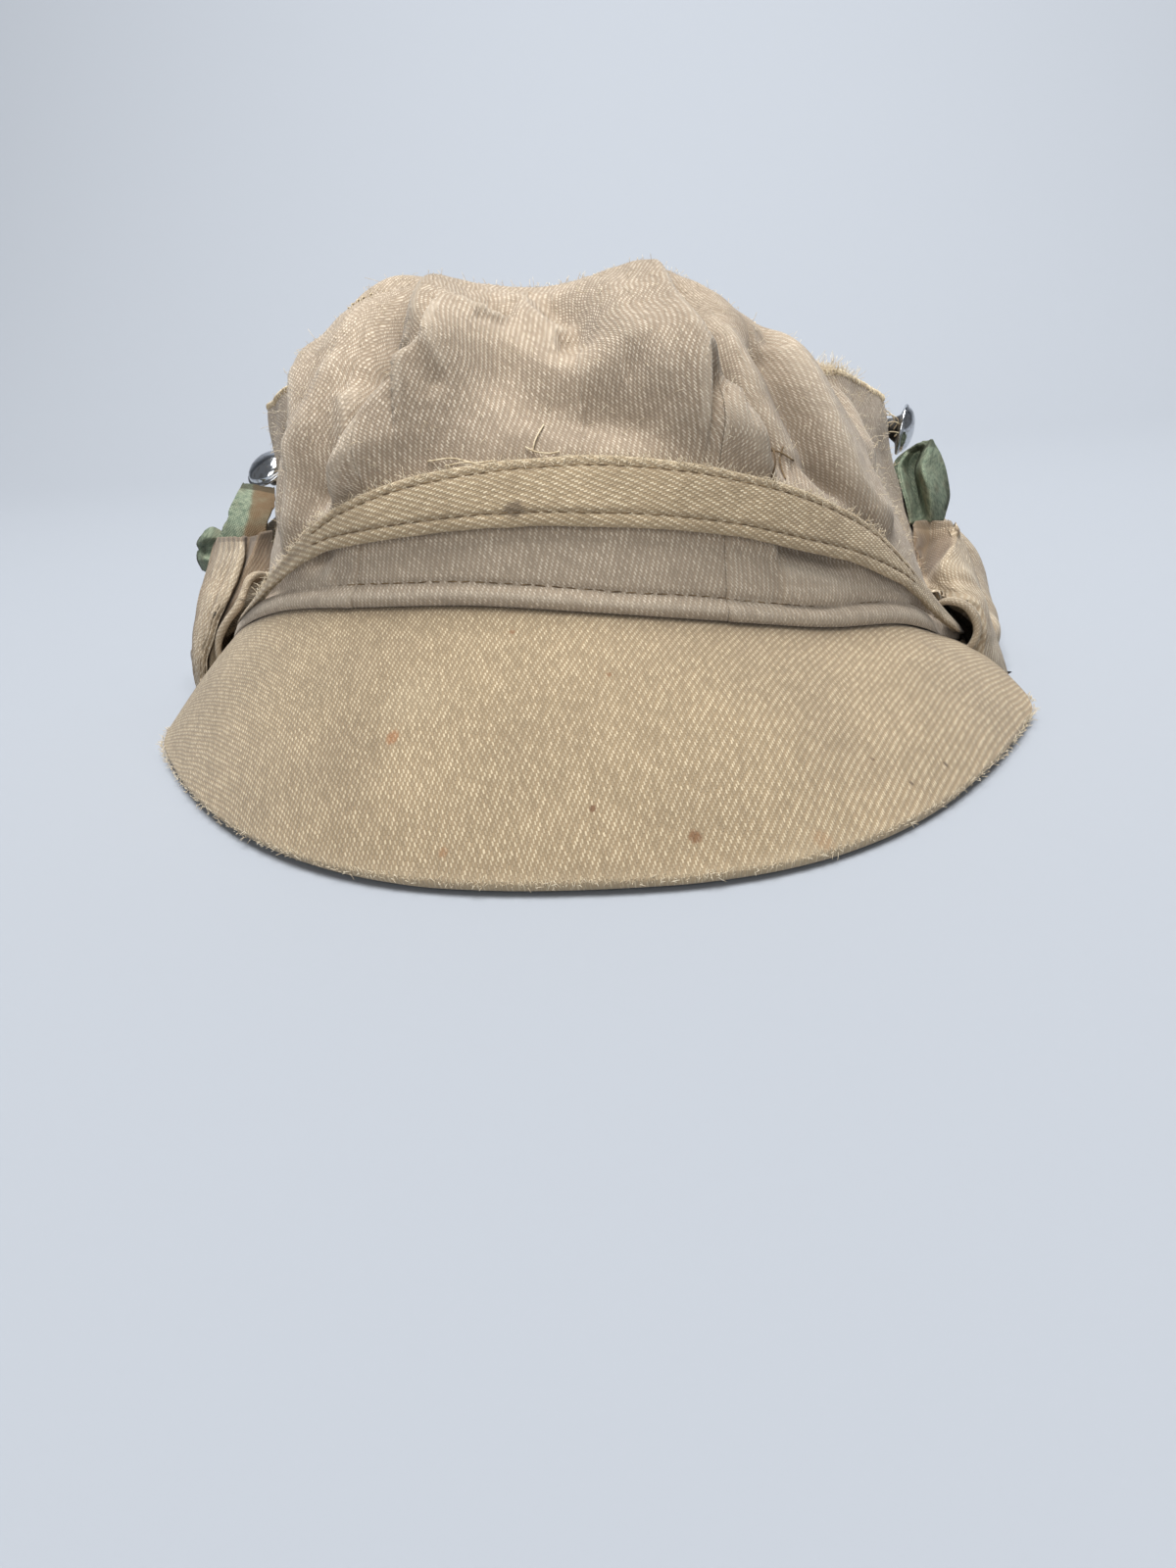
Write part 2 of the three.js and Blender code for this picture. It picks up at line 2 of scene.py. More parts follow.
# # A soft field cap with a stiff peak
#
# The real cap is sewn from cotton twill: a crown of panels, a wide peak over a stiff board, a
# narrow strap across the front, and an ear and neck flap that is folded up outside and tied to a
# button on each side with green tape. It lies by itself on a pale floor.
#
# The construction model gives the true sizes. Here each soft piece is made again as a fine
# surface, with folds, stitches and weave, in the same place. We load the model first.

# %% Load the construction model
import json
import bpy
import numpy as np
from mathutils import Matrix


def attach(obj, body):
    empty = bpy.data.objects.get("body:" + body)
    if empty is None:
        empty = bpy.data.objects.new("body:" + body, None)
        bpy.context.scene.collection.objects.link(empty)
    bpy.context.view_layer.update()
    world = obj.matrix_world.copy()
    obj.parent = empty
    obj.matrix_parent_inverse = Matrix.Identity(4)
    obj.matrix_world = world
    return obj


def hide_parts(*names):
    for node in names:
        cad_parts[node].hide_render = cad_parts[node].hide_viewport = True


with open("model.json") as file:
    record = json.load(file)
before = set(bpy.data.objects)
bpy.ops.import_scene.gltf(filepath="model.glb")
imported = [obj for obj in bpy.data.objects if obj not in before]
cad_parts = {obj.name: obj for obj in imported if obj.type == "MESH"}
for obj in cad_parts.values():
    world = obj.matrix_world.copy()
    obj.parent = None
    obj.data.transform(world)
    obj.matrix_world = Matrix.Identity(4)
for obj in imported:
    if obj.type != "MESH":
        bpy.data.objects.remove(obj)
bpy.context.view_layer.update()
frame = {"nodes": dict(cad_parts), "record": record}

MOUNTS = {mount["name"]: mount for mount in frame["record"]["mounts"]}
OPENING_CENTRE = np.array(MOUNTS["head_opening"]["pos_m"]) * 1000
print("pieces in the model:", len(frame["nodes"]), "middle of the opening, mm:", OPENING_CENTRE)

# %% [markdown]
# ## Short tables and smooth curves
#
# A sewn thing has no straight edges, but its shape changes slowly. So each edge is a short table,
# a row for each angle round the cap, and a smooth curve is drawn through one column. A cubic
# curve between rows, with the slope at each row taken from its neighbours, never overshoots much.
# All sizes are millimetres from the middle of the cap's opening until a mesh is made.

# %% Tables
def table(names, *rows):
    """One array for each named column of a short table."""
    return dict(zip(names.split(), np.array(rows, float).T))


def rows_of(named):
    """The rows of a table again, each as a dictionary."""
    return [dict(zip(named, row)) for row in zip(*named.values())]


def hermite(key, value, x, closed=False):
    """Curve through values at keys: start, end and two slopes blended by cubics of the share t."""
    step = np.diff(key)
    rise = np.diff(value, axis=-1) / step
    inner = (rise[..., :-1] * step[1:] + rise[..., 1:] * step[:-1]) / (step[1:] + step[:-1])
    first, last = rise[..., :1], rise[..., -1:]
    if closed:
        first = last = (first * step[-1] + last * step[0]) / (step[-1] + step[0])
    slope = np.concatenate([first, inner, last], -1)
    i = np.clip(np.searchsorted(key, x) - 1, 0, len(step) - 1)
    t = (x - key[i]) / step[i]
    ease = 3 * t**2 - 2 * t**3
    bend = (t**3 - 2 * t**2 + t) * slope[..., i] + (t**3 - t**2) * slope[..., i + 1]
    return (1 - ease) * value[..., i] + ease * value[..., i + 1] + bend * step[i]


def along(rows, column, x):
    """The curve through one column of a table, closed when its angles go all the way round."""
    key = rows["angle"]
    return hermite(key, rows[column], x, key[-1] - key[0] == 360)


def smoothstep(x, low, high):
    """0 below low, 1 above high, and 3t^2 - 2t^3 between."""
    t = np.clip((x - low) / (high - low), 0, 1)
    return t * t * (3 - 2 * t)


def hump(x, middle, width):
    """Bell curve e^(-(distance / width)^2)."""
    return np.exp(-(((x - middle) / width) ** 2))


# %% [markdown]
# ## The crown's smooth shape
#
# The crown is one surface of two numbers: an angle round the cap, 0 in front, and a share of the
# way up, 0 at the band's edge, 1 at the top seam and 2 in the middle of the top. A plain lathe
# would give a pot. A soft crown leans and slumps, so the seam's place is a table, and at each
# angle one cubic curve climbs the wall and a second crosses the top.

# %% Crown surface
RIM_HALF_WIDTH, RIM_HALF_LENGTH = 93.5, 97.0
RIM = table(
    "angle height",
    (-180, 5), (-130, 5), (-100, 7), (-80, 11), (-65, 20.5), (-51, 29.3), (-38, 35.4), (-22, 38.2),
    (-8, 38.8), (5, 36.6), (20, 32.4), (35, 27), (50, 22.5), (62, 15.5), (80, 6.5), (100, 5.5),
    (130, 5), (180, 5),
)
SEAM = table(
    "angle x y z foot out down inward up",
    (-180, 0, 80, 84, 1, 4, 22, 26, 5),
    (-135, -57, 52, 69, -4, 4, 22, 24, 6),
    (-95, -79.5, 2, 71, -19, 4, 26, 18, 13),
    (-72, -70.5, -24, 76, -31, 6, 26, 16, 11),
    (-56, -56.5, -36, 82.5, -27, 9, 12, 14, 9),
    (-40, -42, -47, 95, -7, 18, 8, 10, 11),
    (-24, -27, -45, 97.2, 1, 34, 3, 14, 1),
    (0, -2, -45, 94.5, 2, 34, 4, 14, 1),
    (22, 22.5, -45, 96.6, 1, 34, 3, 14, 1),
    (40, 38, -44, 87.5, -1, 24, 8, 16, 3),
    (56, 52, -34, 75, -5, 12, 12, 18, 5),
    (72, 63, -22, 72, -18, 6, 14, 18, 7),
    (95, 75, 2, 64, -13, 3, 18, 20, 11),
    (135, 58, 52, 68, -5, 4, 22, 24, 8),
    (180, 0, 80, 84, 1, 4, 22, 26, 5),
)
TOP_MIDDLE, TOP_FLAT, FOOT_RISE = np.array([-3.0, 10, 90]), 30, 0.45
UP = np.array([0.0, 0, 1])


def outward(angle):
    """Level unit vector away from the middle: (sin angle, -cos angle, 0)."""
    a = np.radians(angle)
    return np.stack([np.sin(a), -np.cos(a), 0 * a], -1)


def rim_point(angle):
    """An oval of the two half sizes, at the height that the rim's table gives."""
    oval = outward(angle) * (RIM_HALF_WIDTH, RIM_HALF_LENGTH, 0)
    return oval + UP * along(RIM, "height", angle)[..., None]


def bezier(a, b, c, d, t):
    """Cubic curve from a to d, pulled by b and c."""
    t = t[..., None]
    return (1 - t) ** 3 * a + 3 * (1 - t) ** 2 * t * b + 3 * (1 - t) * t**2 * c + t**3 * d


def smooth_crown(angle, share):
    """Up to share 1 the wall's curve, rim to seam; above it the top's curve, seam to middle."""
    angle, share = np.broadcast_arrays(np.asarray(angle, float), np.asarray(share, float))
    angle = (angle + 540) % 360 - 180
    out = outward(angle)
    at = {name: along(SEAM, name, angle)[..., None] for name in SEAM}
    rim = rim_point(angle)
    seam = np.concatenate([at["x"], at["y"], at["z"]], -1)
    low = rim + out * at["foot"] + UP * FOOT_RISE * (at["z"] - rim[..., 2:])
    high = seam + out * at["out"] - UP * at["down"]
    wall = bezier(rim, low, high, seam, np.clip(share, 0, 1))
    leaving = seam - out * at["inward"] + UP * at["up"]
    top = bezier(seam, leaving, TOP_MIDDLE + out * TOP_FLAT, TOP_MIDDLE, np.clip(share - 1, 0, 1))
    return np.where(share[..., None] <= 1, wall, top)


crown_size = np.ptp(smooth_crown(np.arange(-180, 180)[:, None], [0.0, 0.5, 1]), (0, 1))
print("crown is", np.round(crown_size, 1), "mm")

# %% [markdown]
# ## The strap's and wall's heights
#
# The strap crosses the front in a shallow arch and dives down to the flaps. Its heights are known,
# but the crown's surface is asked for shares, so we look up the share where the wall has a given
# height: 64 samples up the wall at each angle, and a straight line between the two nearest.

# %% Places on the wall
STRAP = table(
    "angle bottom top proud",
    (-76, 15, 17.4, 0.4),
    (-62, 25, 27.2, 0.2),
    (-47, 34, 36.6, 0.2),
    (-36, 42.8, 47, 0.5),
    (-27, 48.8, 56, 0.7),
    (-18, 51.7, 61.5, 0.7),
    (0, 53.3, 65.4, 0.7),
    (18, 49.7, 62.2, 0.7),
    (30, 43.9, 56.2, 0.9),
    (43, 35.9, 45.9, 0.9),
    (50, 30.1, 37.2, 0.7),
    (56, 23.6, 29.2, 0.5),
    (67, 14.2, 17.8, 0.5),
    (76, 9.2, 12.4, 0.5),
)
STRAP_END = 76
LADDER = np.linspace(0, 1, 64)


def share_at(angle, height):
    """Share of the way up the wall where it has that height."""
    angle, height = np.broadcast_arrays(np.asarray(angle, float), np.asarray(height, float))
    steps = smooth_crown(angle[..., None], LADDER)[..., 2]
    i = np.clip((steps < height[..., None]).sum(-1) - 1, 0, len(LADDER) - 2)[..., None]
    below = np.take_along_axis(steps, i, -1)[..., 0]
    above = np.take_along_axis(steps, i + 1, -1)[..., 0]
    return (i[..., 0] + (height - below) / np.maximum(above - below, 1e-6)) * LADDER[1]


def wall_point(angle, height, off=0.0):
    """The wall's point at that height, moved level outward."""
    point = smooth_crown(angle, share_at(angle, height))
    return point + outward(np.broadcast_to(angle, point.shape[:-1])) * np.asarray(off)[..., None]


print("strap's heights in the middle, mm:", along(STRAP, "bottom", 0.0), along(STRAP, "top", 0.0))

# %% [markdown]
# ## Folds and creases
#
# The cap has been crushed and worn, so its folds are sharp on one side and slack on the other. A
# cloth simulation would give folds somewhere else. Here each fold is one row: three points of a
# curve, a height, the width of its steep side and of its soft side. The cloth beside the curve is
# lifted by a bell curve of the distance, and the steep side also sinks into a small crease.

# %% Fold tables
DEGREE_WIDTH, WALL_LENGTH = 1.45, 84.0
FOLDS = table(
    "a_angle a_share b_angle b_share c_angle c_share height steep soft crease",
    (-17.5, 0.9, -15.4, 0.76, -15.2, 0.65, 5.4, -2.9, 13, 0.34),
    (-15.6, 0.67, -14, 0.6, -11, 0.52, -1.8, 2.0, 3.0, 0.0),
    (-12.4, 0.58, -18.5, 0.45, -24, 0.27, 5.2, -2.7, 9, 0.34),
    (-23.2, 0.40, -24, 0.32, -24.8, 0.22, 1.0, -2.5, 4, 0.2),
    (18.6, 0.9, 18.2, 0.7, 19.8, 0.55, 5.0, 2.8, 13, 0.36),
    (20, 0.56, 25, 0.44, 27.6, 0.3, 5.0, 2.8, 10, 0.36),
    (39.2, 0.72, 40.5, 0.5, 45, 0.3, 3.6, -2.8, 9, 0.4),
    (58, 0.93, 61, 0.8, 56, 0.58, 3.0, 2.8, 6, 0.34),
    (-49, 0.84, -36, 0.5, -36.5, 0.16, 3.2, -3.4, 6, 0.3),
    (-62, 0.8, -54, 0.5, -52, 0.2, 1.8, -3.4, 6, 0.3),
    (-22, 0.92, -20.6, 0.76, -20, 0.62, -6.5, 3.2, 7, 0.0),
    (-18.5, 0.55, -24, 0.46, -28.5, 0.28, -3.2, 3.0, 7, 0.0),
    (23.4, 0.92, 22.6, 0.72, 24, 0.57, -6.2, -3.2, 8, 0.0),
    (24.8, 0.54, 29.5, 0.43, 31.6, 0.3, -3.0, -2.8, 7, 0.0),
    (35, 0.7, 35.4, 0.52, 38.6, 0.34, -2.8, 2.8, 7, 0.0),
    (-30, 0.62, -31.4, 0.5, -34.8, 0.4, 1.2, -2.4, 4, 0.2),
    (-25.4, 0.52, -25.6, 0.42, -26.2, 0.3, 1.1, -2.2, 4, 0.2),
    (-42, 0.62, -43.5, 0.45, -43, 0.26, 1.3, -2.6, 4.5, 0.3),
    (-9, 0.745, -6.8, 0.735, -4.4, 0.75, 1.2, 1.4, 2.0, 0.5),
    (-6.6, 0.83, -4.6, 0.77, -3, 0.82, -1.2, 2.0, 2.2, 0.0),
    (-1.5, 0.845, 0, 0.79, 3.4, 0.73, 2.2, 2.4, 6, 0.34),
    (2.5, 0.83, 4.4, 0.76, 6, 0.66, -2.6, 3.2, 4.5, 0.0),
    (-6, 0.7, -2, 0.64, 6, 0.56, 2.0, 4.4, 8, 0.0),
    (-3, 0.58, 3, 0.5, 12, 0.405, -4.0, 6.5, 7, 0.0),
    (-11, 0.86, -9, 0.8, -6, 0.79, -1.3, 2.8, 4, 0.0),
    (9, 0.87, 11, 0.75, 11.5, 0.6, 1.6, 3.2, 6, 0.2),
    (14, 0.6, 15.5, 0.5, 16, 0.42, 1.0, 3.0, 4, 0.1),
    (28, 0.72, 30.5, 0.54, 33, 0.42, 1.4, 3.6, 7, 0.2),
    (47, 0.72, 50, 0.5, 49, 0.3, 1.6, 3.4, 6, 0.2),
    (35.5, 0.36, 36.2, 0.32, 36.4, 0.25, 0.9, 1.7, 2.4, 0.3),
    (38.4, 0.31, 39.4, 0.27, 41, 0.235, 0.6, 1.1, 1.8, 0.6),
    (43, 0.30, 43.6, 0.26, 44.6, 0.2, 0.55, 1.1, 1.8, 0.6),
)


def distance_to(curve, x, y, samples=48):
    """Nearest distance to a quadratic curve, and how far right of that nearest point x lies."""
    scale = (DEGREE_WIDTH, WALL_LENGTH)
    ends = [np.array([curve[k + "_angle"], curve[k + "_share"]]) * scale for k in "abc"]
    handle = 2 * ends[1] - (ends[0] + ends[2]) / 2
    t = np.linspace(0, 1, samples)[:, None]
    path = (1 - t) ** 2 * ends[0] + 2 * t * (1 - t) * handle + t**2 * ends[2]
    nearest, side = np.full(x.shape, np.inf), np.zeros(x.shape)
    for px, py in path:
        away = np.hypot(x - px, y - py)
        side = np.where(away < nearest, x - px, side)
        nearest = np.minimum(away, nearest)
    return nearest, side


def fold_lift(angle, share):
    """Sum over the folds of height * bell(distance / width), less a crease on the steep side."""
    x, y = angle * DEGREE_WIDTH, share * WALL_LENGTH
    lift = np.zeros(x.shape)
    for fold in rows_of(FOLDS):
        distance, side = distance_to(fold, x, y)
        steep = side * np.sign(fold["steep"]) > 0
        width = np.where(steep, abs(fold["steep"]), fold["soft"])
        sink = fold["crease"] * steep * hump(distance, 1.9 * abs(fold["steep"]), abs(fold["steep"]))
        lift += fold["height"] * (hump(distance, 0, width) - sink)
    return lift


print("folds:", len(FOLDS["height"]))

# %% [markdown]
# ## Slack, crumple and relief
#
# Between its folds worn cotton is never flat: it has slow swells of a few centimetres and small
# dimples. Random numbers on a coarse lattice, blended smoothly, give both. The seams and the
# welt, the band's rolled lower edge, are relief too: they are part of the cloth's surface.

# %% Relief of the crown
WELT_HEIGHT, WELT_SWELL, WELT_SINK = 4.4, 1.3, 0.45
LEFT_SEAM = table("angle place", (0, -24.5), (0.17, -21.8), (0.4, -19.6), (0.6, -17.4), (1, -20))
RIGHT_SEAM = 21.5


def crumple(point, size, seed):
    """Random numbers at the corners of cubes, mixed by 3t^2 - 2t^3 of the place between them."""
    lattice = np.random.default_rng(seed).uniform(-1, 1, (41, 41, 41))
    cell = np.floor(point / size).astype(int)
    t = point / size - cell
    t = t * t * (3 - 2 * t)
    total = np.zeros(point.shape[:-1])
    for corner in np.ndindex(2, 2, 2):
        share = np.prod(np.where(corner, t, 1 - t), -1)
        total += share * lattice[tuple(np.moveaxis((cell + corner) % 41, -1, 0))]
    return total


def left_seam(share):
    """The left upright seam's angle: its table, held above the top seam."""
    return along(LEFT_SEAM, "place", np.clip(share, 0, 1))


def welt_edge(angle):
    """Height of the welt's topstitching above the rim: it wanders a little, as sewn by hand."""
    return WELT_HEIGHT + 0.5 * crumple(rim_point(angle), 16, 5)


def crown_lift(angle, share):
    """Folds, slack, crumple, seams and welt, each where it belongs, in millimetres."""
    angle, share = np.broadcast_arrays(np.asarray(angle, float), np.asarray(share, float))
    angle = (angle + 540) % 360 - 180
    point = smooth_crown(angle, share)
    height = point[..., 2]
    front = np.abs(angle) < STRAP_END
    inside = np.clip(angle, -STRAP_END, STRAP_END)
    strap_top = np.where(front, along(STRAP, "top", inside), 0)
    strap_bottom = np.where(front, along(STRAP, "bottom", inside), 0)
    free = smoothstep(height, strap_top - 1, strap_top + 7)
    lift = fold_lift(angle, share) * free * (1 - smoothstep(share, 0.78, 1.06))
    slack = 0.8 * crumple(point, 22, 1) + 0.5 * crumple(point, 10, 2) + 0.2 * crumple(point, 4.5, 3)
    side = 1 + 1.2 * smoothstep(np.abs(angle), 60, 110)
    lift += slack * side * smoothstep(height, strap_top, strap_top + 8)
    band = height - along(RIM, "height", angle)
    edge = welt_edge(angle)
    welt = WELT_SWELL * np.sin(np.pi * np.clip(band / edge, 0, 1)) ** 0.7
    lift += welt - WELT_SINK * hump(band, edge + 0.3, 0.6)
    under_strap = 1 - smoothstep(height, strap_bottom - 2, strap_bottom)
    below = under_strap * smoothstep(band, edge, edge + 1) * front
    step = smoothstep(angle, 28.6, 29.4) + 1 - smoothstep(angle, -27.6, -26.8)
    lift += below * (0.7 * step + 0.3 * crumple(point, 9, 4))
    loose = smoothstep(angle, 28.4, 29.2) * (1 - smoothstep(angle, 36, 43))
    loose = loose + hump(angle, -29.5, 2.5) + hump(angle, 64, 6)
    lift -= 2.2 * front * loose * hump(height, strap_bottom, 2.6)
    for seam in (left_seam(share), RIGHT_SEAM + 0 * share):
        away = (angle - seam) * DEGREE_WIDTH * np.sign(seam)
        spare = smoothstep(away, 0, 1) * (1 - smoothstep(away, 7, 8))
        lift += (share < 0.3) * 0.2 * (hump(away, 1.3, 1.1) + spare)
    return lift


def crown(angle, share):
    """The smooth crown, moved along its own normal by the lift."""
    point = smooth_crown(angle, share)
    middle = np.clip(share, 0.01, 1.97)
    across = smooth_crown(angle + 0.5, middle) - smooth_crown(angle - 0.5, middle)
    up = smooth_crown(angle, middle + 0.01) - smooth_crown(angle, middle - 0.01)
    normal = np.cross(across, up)
    normal /= np.linalg.norm(normal, axis=-1, keepdims=True)
    return point + normal * crown_lift(angle, share)[..., None]


relief = crown_lift(np.arange(-180, 180)[:, None], LADDER)
print("relief of the wall, mm:", relief.min().round(1), "to", relief.max().round(1))

# %% [markdown]
# ## From a grid of points to sewn cloth
#
# Every soft piece is a grid of points, a function of two parameters. Cloth has thickness and its
# cut or folded edges are round, so the grid becomes a closed shell: the grid itself outside, the
# same grid a thickness further in, and the two come together over a quarter circle at each edge.
# The edge rows lie close together, so that the round shows.
#
# Each piece also gets a UV map in millimetres along the cloth, for its weave, and a colour
# attribute called wear: red for soiling and painted shade in hollows, creases and grooves,
# green for rubbed ridges and painted light on the crown's band, blue for brown stain, which in
# the pleats also stands for painted shade in the fold.

# %% Cloth shells
ABOVE_FLOOR, LEAST_SIDE, LEAST_FILL = 0.05, 0.01, 0.31


def spread(low, high, count, edge=0.0):
    """Even steps from low to high, with three extra steps inside each end when edge isn't 0."""
    even = np.linspace(low, high, count)
    near = edge * np.array([0.08, 0.3, 0.65, 1])
    return np.unique(np.concatenate([even, low + near, high - near])) if edge else even


def normals(grid):
    """Unit cross product of the two directions along the grid."""
    n = np.cross(np.gradient(grid, axis=0), np.gradient(grid, axis=1))
    return n / np.maximum(np.linalg.norm(n, axis=-1, keepdims=True), 1e-9)


def lengths(grid, axis):
    """Distance along the cloth from the first row, at each point."""
    steps = np.linalg.norm(np.diff(grid, axis=axis), axis=-1)
    pad = [(0, 0), (0, 0)]
    pad[axis] = (1, 0)
    return np.cumsum(np.pad(steps, pad), axis)


def edge_distance(grid):
    """Distance along the cloth to the nearest of its four edges."""
    u, v = lengths(grid, 0), lengths(grid, 1)
    return np.minimum.reduce([u, u[-1:] - u, v, v[:, -1:] - v])


def turned(u, v, turn):
    """Pairs turned by an angle in degrees: (u cos a - v sin a, u sin a + v cos a)."""
    a = np.radians(turn)
    return np.stack([u * np.cos(a) - v * np.sin(a), u * np.sin(a) + v * np.cos(a)], -1)


def flat_places(grid, turn=0.0):
    """Where each point lay before sewing: lengths from the middle column and first row, turned."""
    u = lengths(grid, 0)
    return turned(u - u[len(u) // 2], lengths(grid, 1), turn)


def hollows(lift, reach=4):
    """How far each point lies below the mean of its neighbours a few steps off."""
    around = sum(np.roll(lift, s, axis) for axis in (0, 1) for s in (-reach, reach)) / 4
    return around - lift


def cells(index):
    """The quads of a grid of point numbers, four numbers a row."""
    sides = [index[:-1, :-1], index[1:, :-1], index[1:, 1:], index[:-1, 1:]]
    return np.stack(sides, -1).reshape(-1, 4)


def layers(outside, inside):
    """The values of one layer, then those of the other, which shares the first one's edge rows."""
    k = outside.shape[-1]
    return np.concatenate([outside.reshape(-1, k), inside[1:-1, 1:-1].reshape(-1, k)])


def shell(name, grid, thickness, places, wear, rim=1.0):
    """A closed sheet: the grid moved along its normal by h - half and by -(h + half).

    h = half * sqrt(1 - (1 - d / (rim * half))^2), where d is the distance to the nearest edge. A
    small rim makes the edge blunt, as where two panels meet in a seam.
    """
    half = thickness / 2
    d = np.clip(edge_distance(grid) / (half * rim), 0, 1)
    h = half * np.sqrt(1 - (1 - d) ** 2)
    h[0] = h[-1] = 0
    h[:, 0] = h[:, -1] = 0
    offset = normals(grid) * h[..., None]
    grid = grid - normals(grid) * half
    across, up = grid.shape[:2]
    outer = np.arange(across * up).reshape(across, up)
    inner = outer.copy()
    inner[1:-1, 1:-1] = across * up + np.arange((across - 2) * (up - 2)).reshape(across - 2, up - 2)
    vertices = layers(grid + offset, grid - offset)
    vertices[:, 2] = np.maximum(vertices[:, 2], ABOVE_FLOOR)
    faces = np.concatenate([cells(outer), cells(inner)[:, ::-1]])
    wear = np.clip(wear, 0, 1)
    return mesh_piece(name, vertices, faces, layers(places, places), layers(wear, wear))


def mesh_piece(name, vertices, faces, places=None, wear=None):
    """A Blender object from millimetres about the opening's middle, smooth, with its map and wear."""
    mesh = bpy.data.meshes.new(name)
    sides = faces.shape[1]
    mesh.vertices.add(len(vertices))
    mesh.vertices.foreach_set("co", ((vertices + OPENING_CENTRE) / 1000).astype(np.float32).ravel())
    mesh.loops.add(faces.size)
    mesh.loops.foreach_set("vertex_index", faces.astype(np.int32).ravel())
    mesh.polygons.add(len(faces))
    mesh.polygons.foreach_set("loop_start", np.arange(0, faces.size, sides, dtype=np.int32))
    mesh.polygons.foreach_set("use_smooth", np.ones(len(faces), bool))
    mesh.update(calc_edges=True)
    if places is not None:
        layer = mesh.uv_layers.new(name="cloth")
        layer.uv.foreach_set("vector", places[faces.ravel()].astype(np.float32).ravel())
    if wear is not None:
        colour = mesh.color_attributes.new("wear", "FLOAT_COLOR", "POINT")
        colour.data.foreach_set("color", np.c_[wear, np.ones(len(wear))].astype(np.float32).ravel())
    piece = bpy.data.objects.new(name, mesh)
    bpy.context.scene.collection.objects.link(piece)
    return piece


def settle(piece, material, slot, *nodes):
    """Give a piece its material and body, and name the nodes that it replaces. The slot is not used."""
    piece.data.materials.append(material)
    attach(piece, "root")
    if nodes:
        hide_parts(*nodes)
    print(piece.name, len(piece.data.polygons), "faces")
    return piece


def cut_cloth(grid):
    """Print a sheet's size: as wide and long as its widest and longest rows, with the grid's own area."""
    width, length = (max(lengths(grid, k).max() / 1000, LEAST_SIDE) for k in (0, 1))
    sides = np.cross(np.diff(grid, axis=0)[:, :-1], np.diff(grid, axis=1)[:-1])
    area = np.linalg.norm(sides, axis=-1).sum() / 1e6
    area = min(max(area, LEAST_FILL * width * length), width * length)
    print(f"  cut {width * 1000:.0f} by {length * 1000:.0f} mm, {area * 1e4:.0f} square cm")


# %% [markdown]
# ## Twill
#
# In this twill each warp thread floats over two wefts and goes under one, and the next thread
# does so a step higher, so the floats line up in steep diagonals. Some floats are nearly white,
# because the yarn is a mix. An image could show that, but a repeat would show too. Here the
# shader works out, from the place on the cloth in millimetres, which thread and which float a
# point is on. A random number for each float sets its tone, and its rounded height is the bump.

# %% Node helpers
def node(tree, kind, inputs=(), **settings):
    """A shader node with its settings, whose inputs are numbers, colours or other sockets."""
    made = tree.nodes.new("ShaderNode" + kind)
    for name, value in settings.items():
        setattr(made, name, value)
    for key, value in dict(inputs).items():
        socket = made.inputs[key]
        if isinstance(value, bpy.types.NodeSocket):
            tree.links.new(value, socket)
        else:
            socket.default_value = value
    return made


def maths(tree, operation, *values):
    """The result of one step of arithmetic on numbers or sockets."""
    return node(tree, "Math", enumerate(values), operation=operation).outputs[0]


def blend(tree, factor, a, b, how="MIX"):
    """Two colours mixed by a factor."""
    made = node(tree, "Mix", data_type="RGBA", blend_type=how)
    for name, value in {"Factor": factor, "A": a, "B": b}.items():
        socket = [s for s in made.inputs if s.name == name and s.enabled][0]
        if isinstance(value, bpy.types.NodeSocket):
            tree.links.new(value, socket)
        else:
            socket.default_value = value
    return [s for s in made.outputs if s.enabled][0]


def ramp(tree, value, low, high, to_low=0.0, to_high=1.0):
    """value moved from one range to another, smooth at both ends and held beyond them."""
    inputs = {"Value": value, "From Min": low, "From Max": high, "To Min": to_low, "To Max": to_high}
    return node(tree, "MapRange", inputs, interpolation_type="SMOOTHSTEP").outputs[0]


def noise(tree, place, scale, detail, roughness=0.5):
    """A cloud of random tones, as a number."""
    inputs = {"Vector": place, "Scale": scale, "Detail": detail, "Roughness": roughness}
    return node(tree, "TexNoise", inputs).outputs[0]


def wear_and_shade_channels(tree):
    """Soiling with painted shade, paleness of rubbed wear with some painted light, and brown stain, as the
    piece's wear attribute gives them.
    """
    colour = node(tree, "Attribute", attribute_name="wear").outputs["Color"]
    return node(tree, "SeparateColor", {0: colour}).outputs


def new_material(name):
    """A material, its node tree and its one shader."""
    material = bpy.data.materials.new(name)
    material.use_nodes = True
    return material, material.node_tree, material.node_tree.nodes["Principled BSDF"]


def dress(tree, shader, colour, rough, shine):
    """Give the shader its colour, how rough it is and how much it shines."""
    tree.links.new(colour, shader.inputs["Base Color"])
    shader.inputs["Roughness"].default_value = rough
    shader.inputs["Specular IOR Level"].default_value = shine


def emboss(tree, shader, height, depth, strength):
    """Give the shader a relief, as deep as that in metres."""
    bump = node(tree, "Bump", {"Height": height, "Distance": depth, "Strength": strength})
    tree.links.new(bump.outputs[0], shader.inputs["Normal"])


def rgb(red, green, blue):
    """A colour as seen on a screen, 0 to 255, turned to the linear light that the shader wants."""
    c = np.array([red, green, blue]) / 255
    linear = np.where(c <= 0.04045, c / 12.92, ((c + 0.055) / 1.055) ** 2.4)
    return (*linear.tolist(), 1.0)


# %% [markdown]
# ## The twill material
#
# One function makes every twill here. What differs is the colour of the floats, of the pale ones
# and of the weft between, so each piece passes those three.

# %% Twill material
THREAD, PICK, FLOAT_SHARE, FLOAT_TAPER, LEAN = 0.415, 0.54, 0.55, 0.1, -31
REPEAT = 3 * PICK
WANDER = ((0.05, 1.2), (1.3, 0.3))
SOIL_AND_SHADE, STAIN = rgb(98, 84, 68), rgb(110, 88, 68)


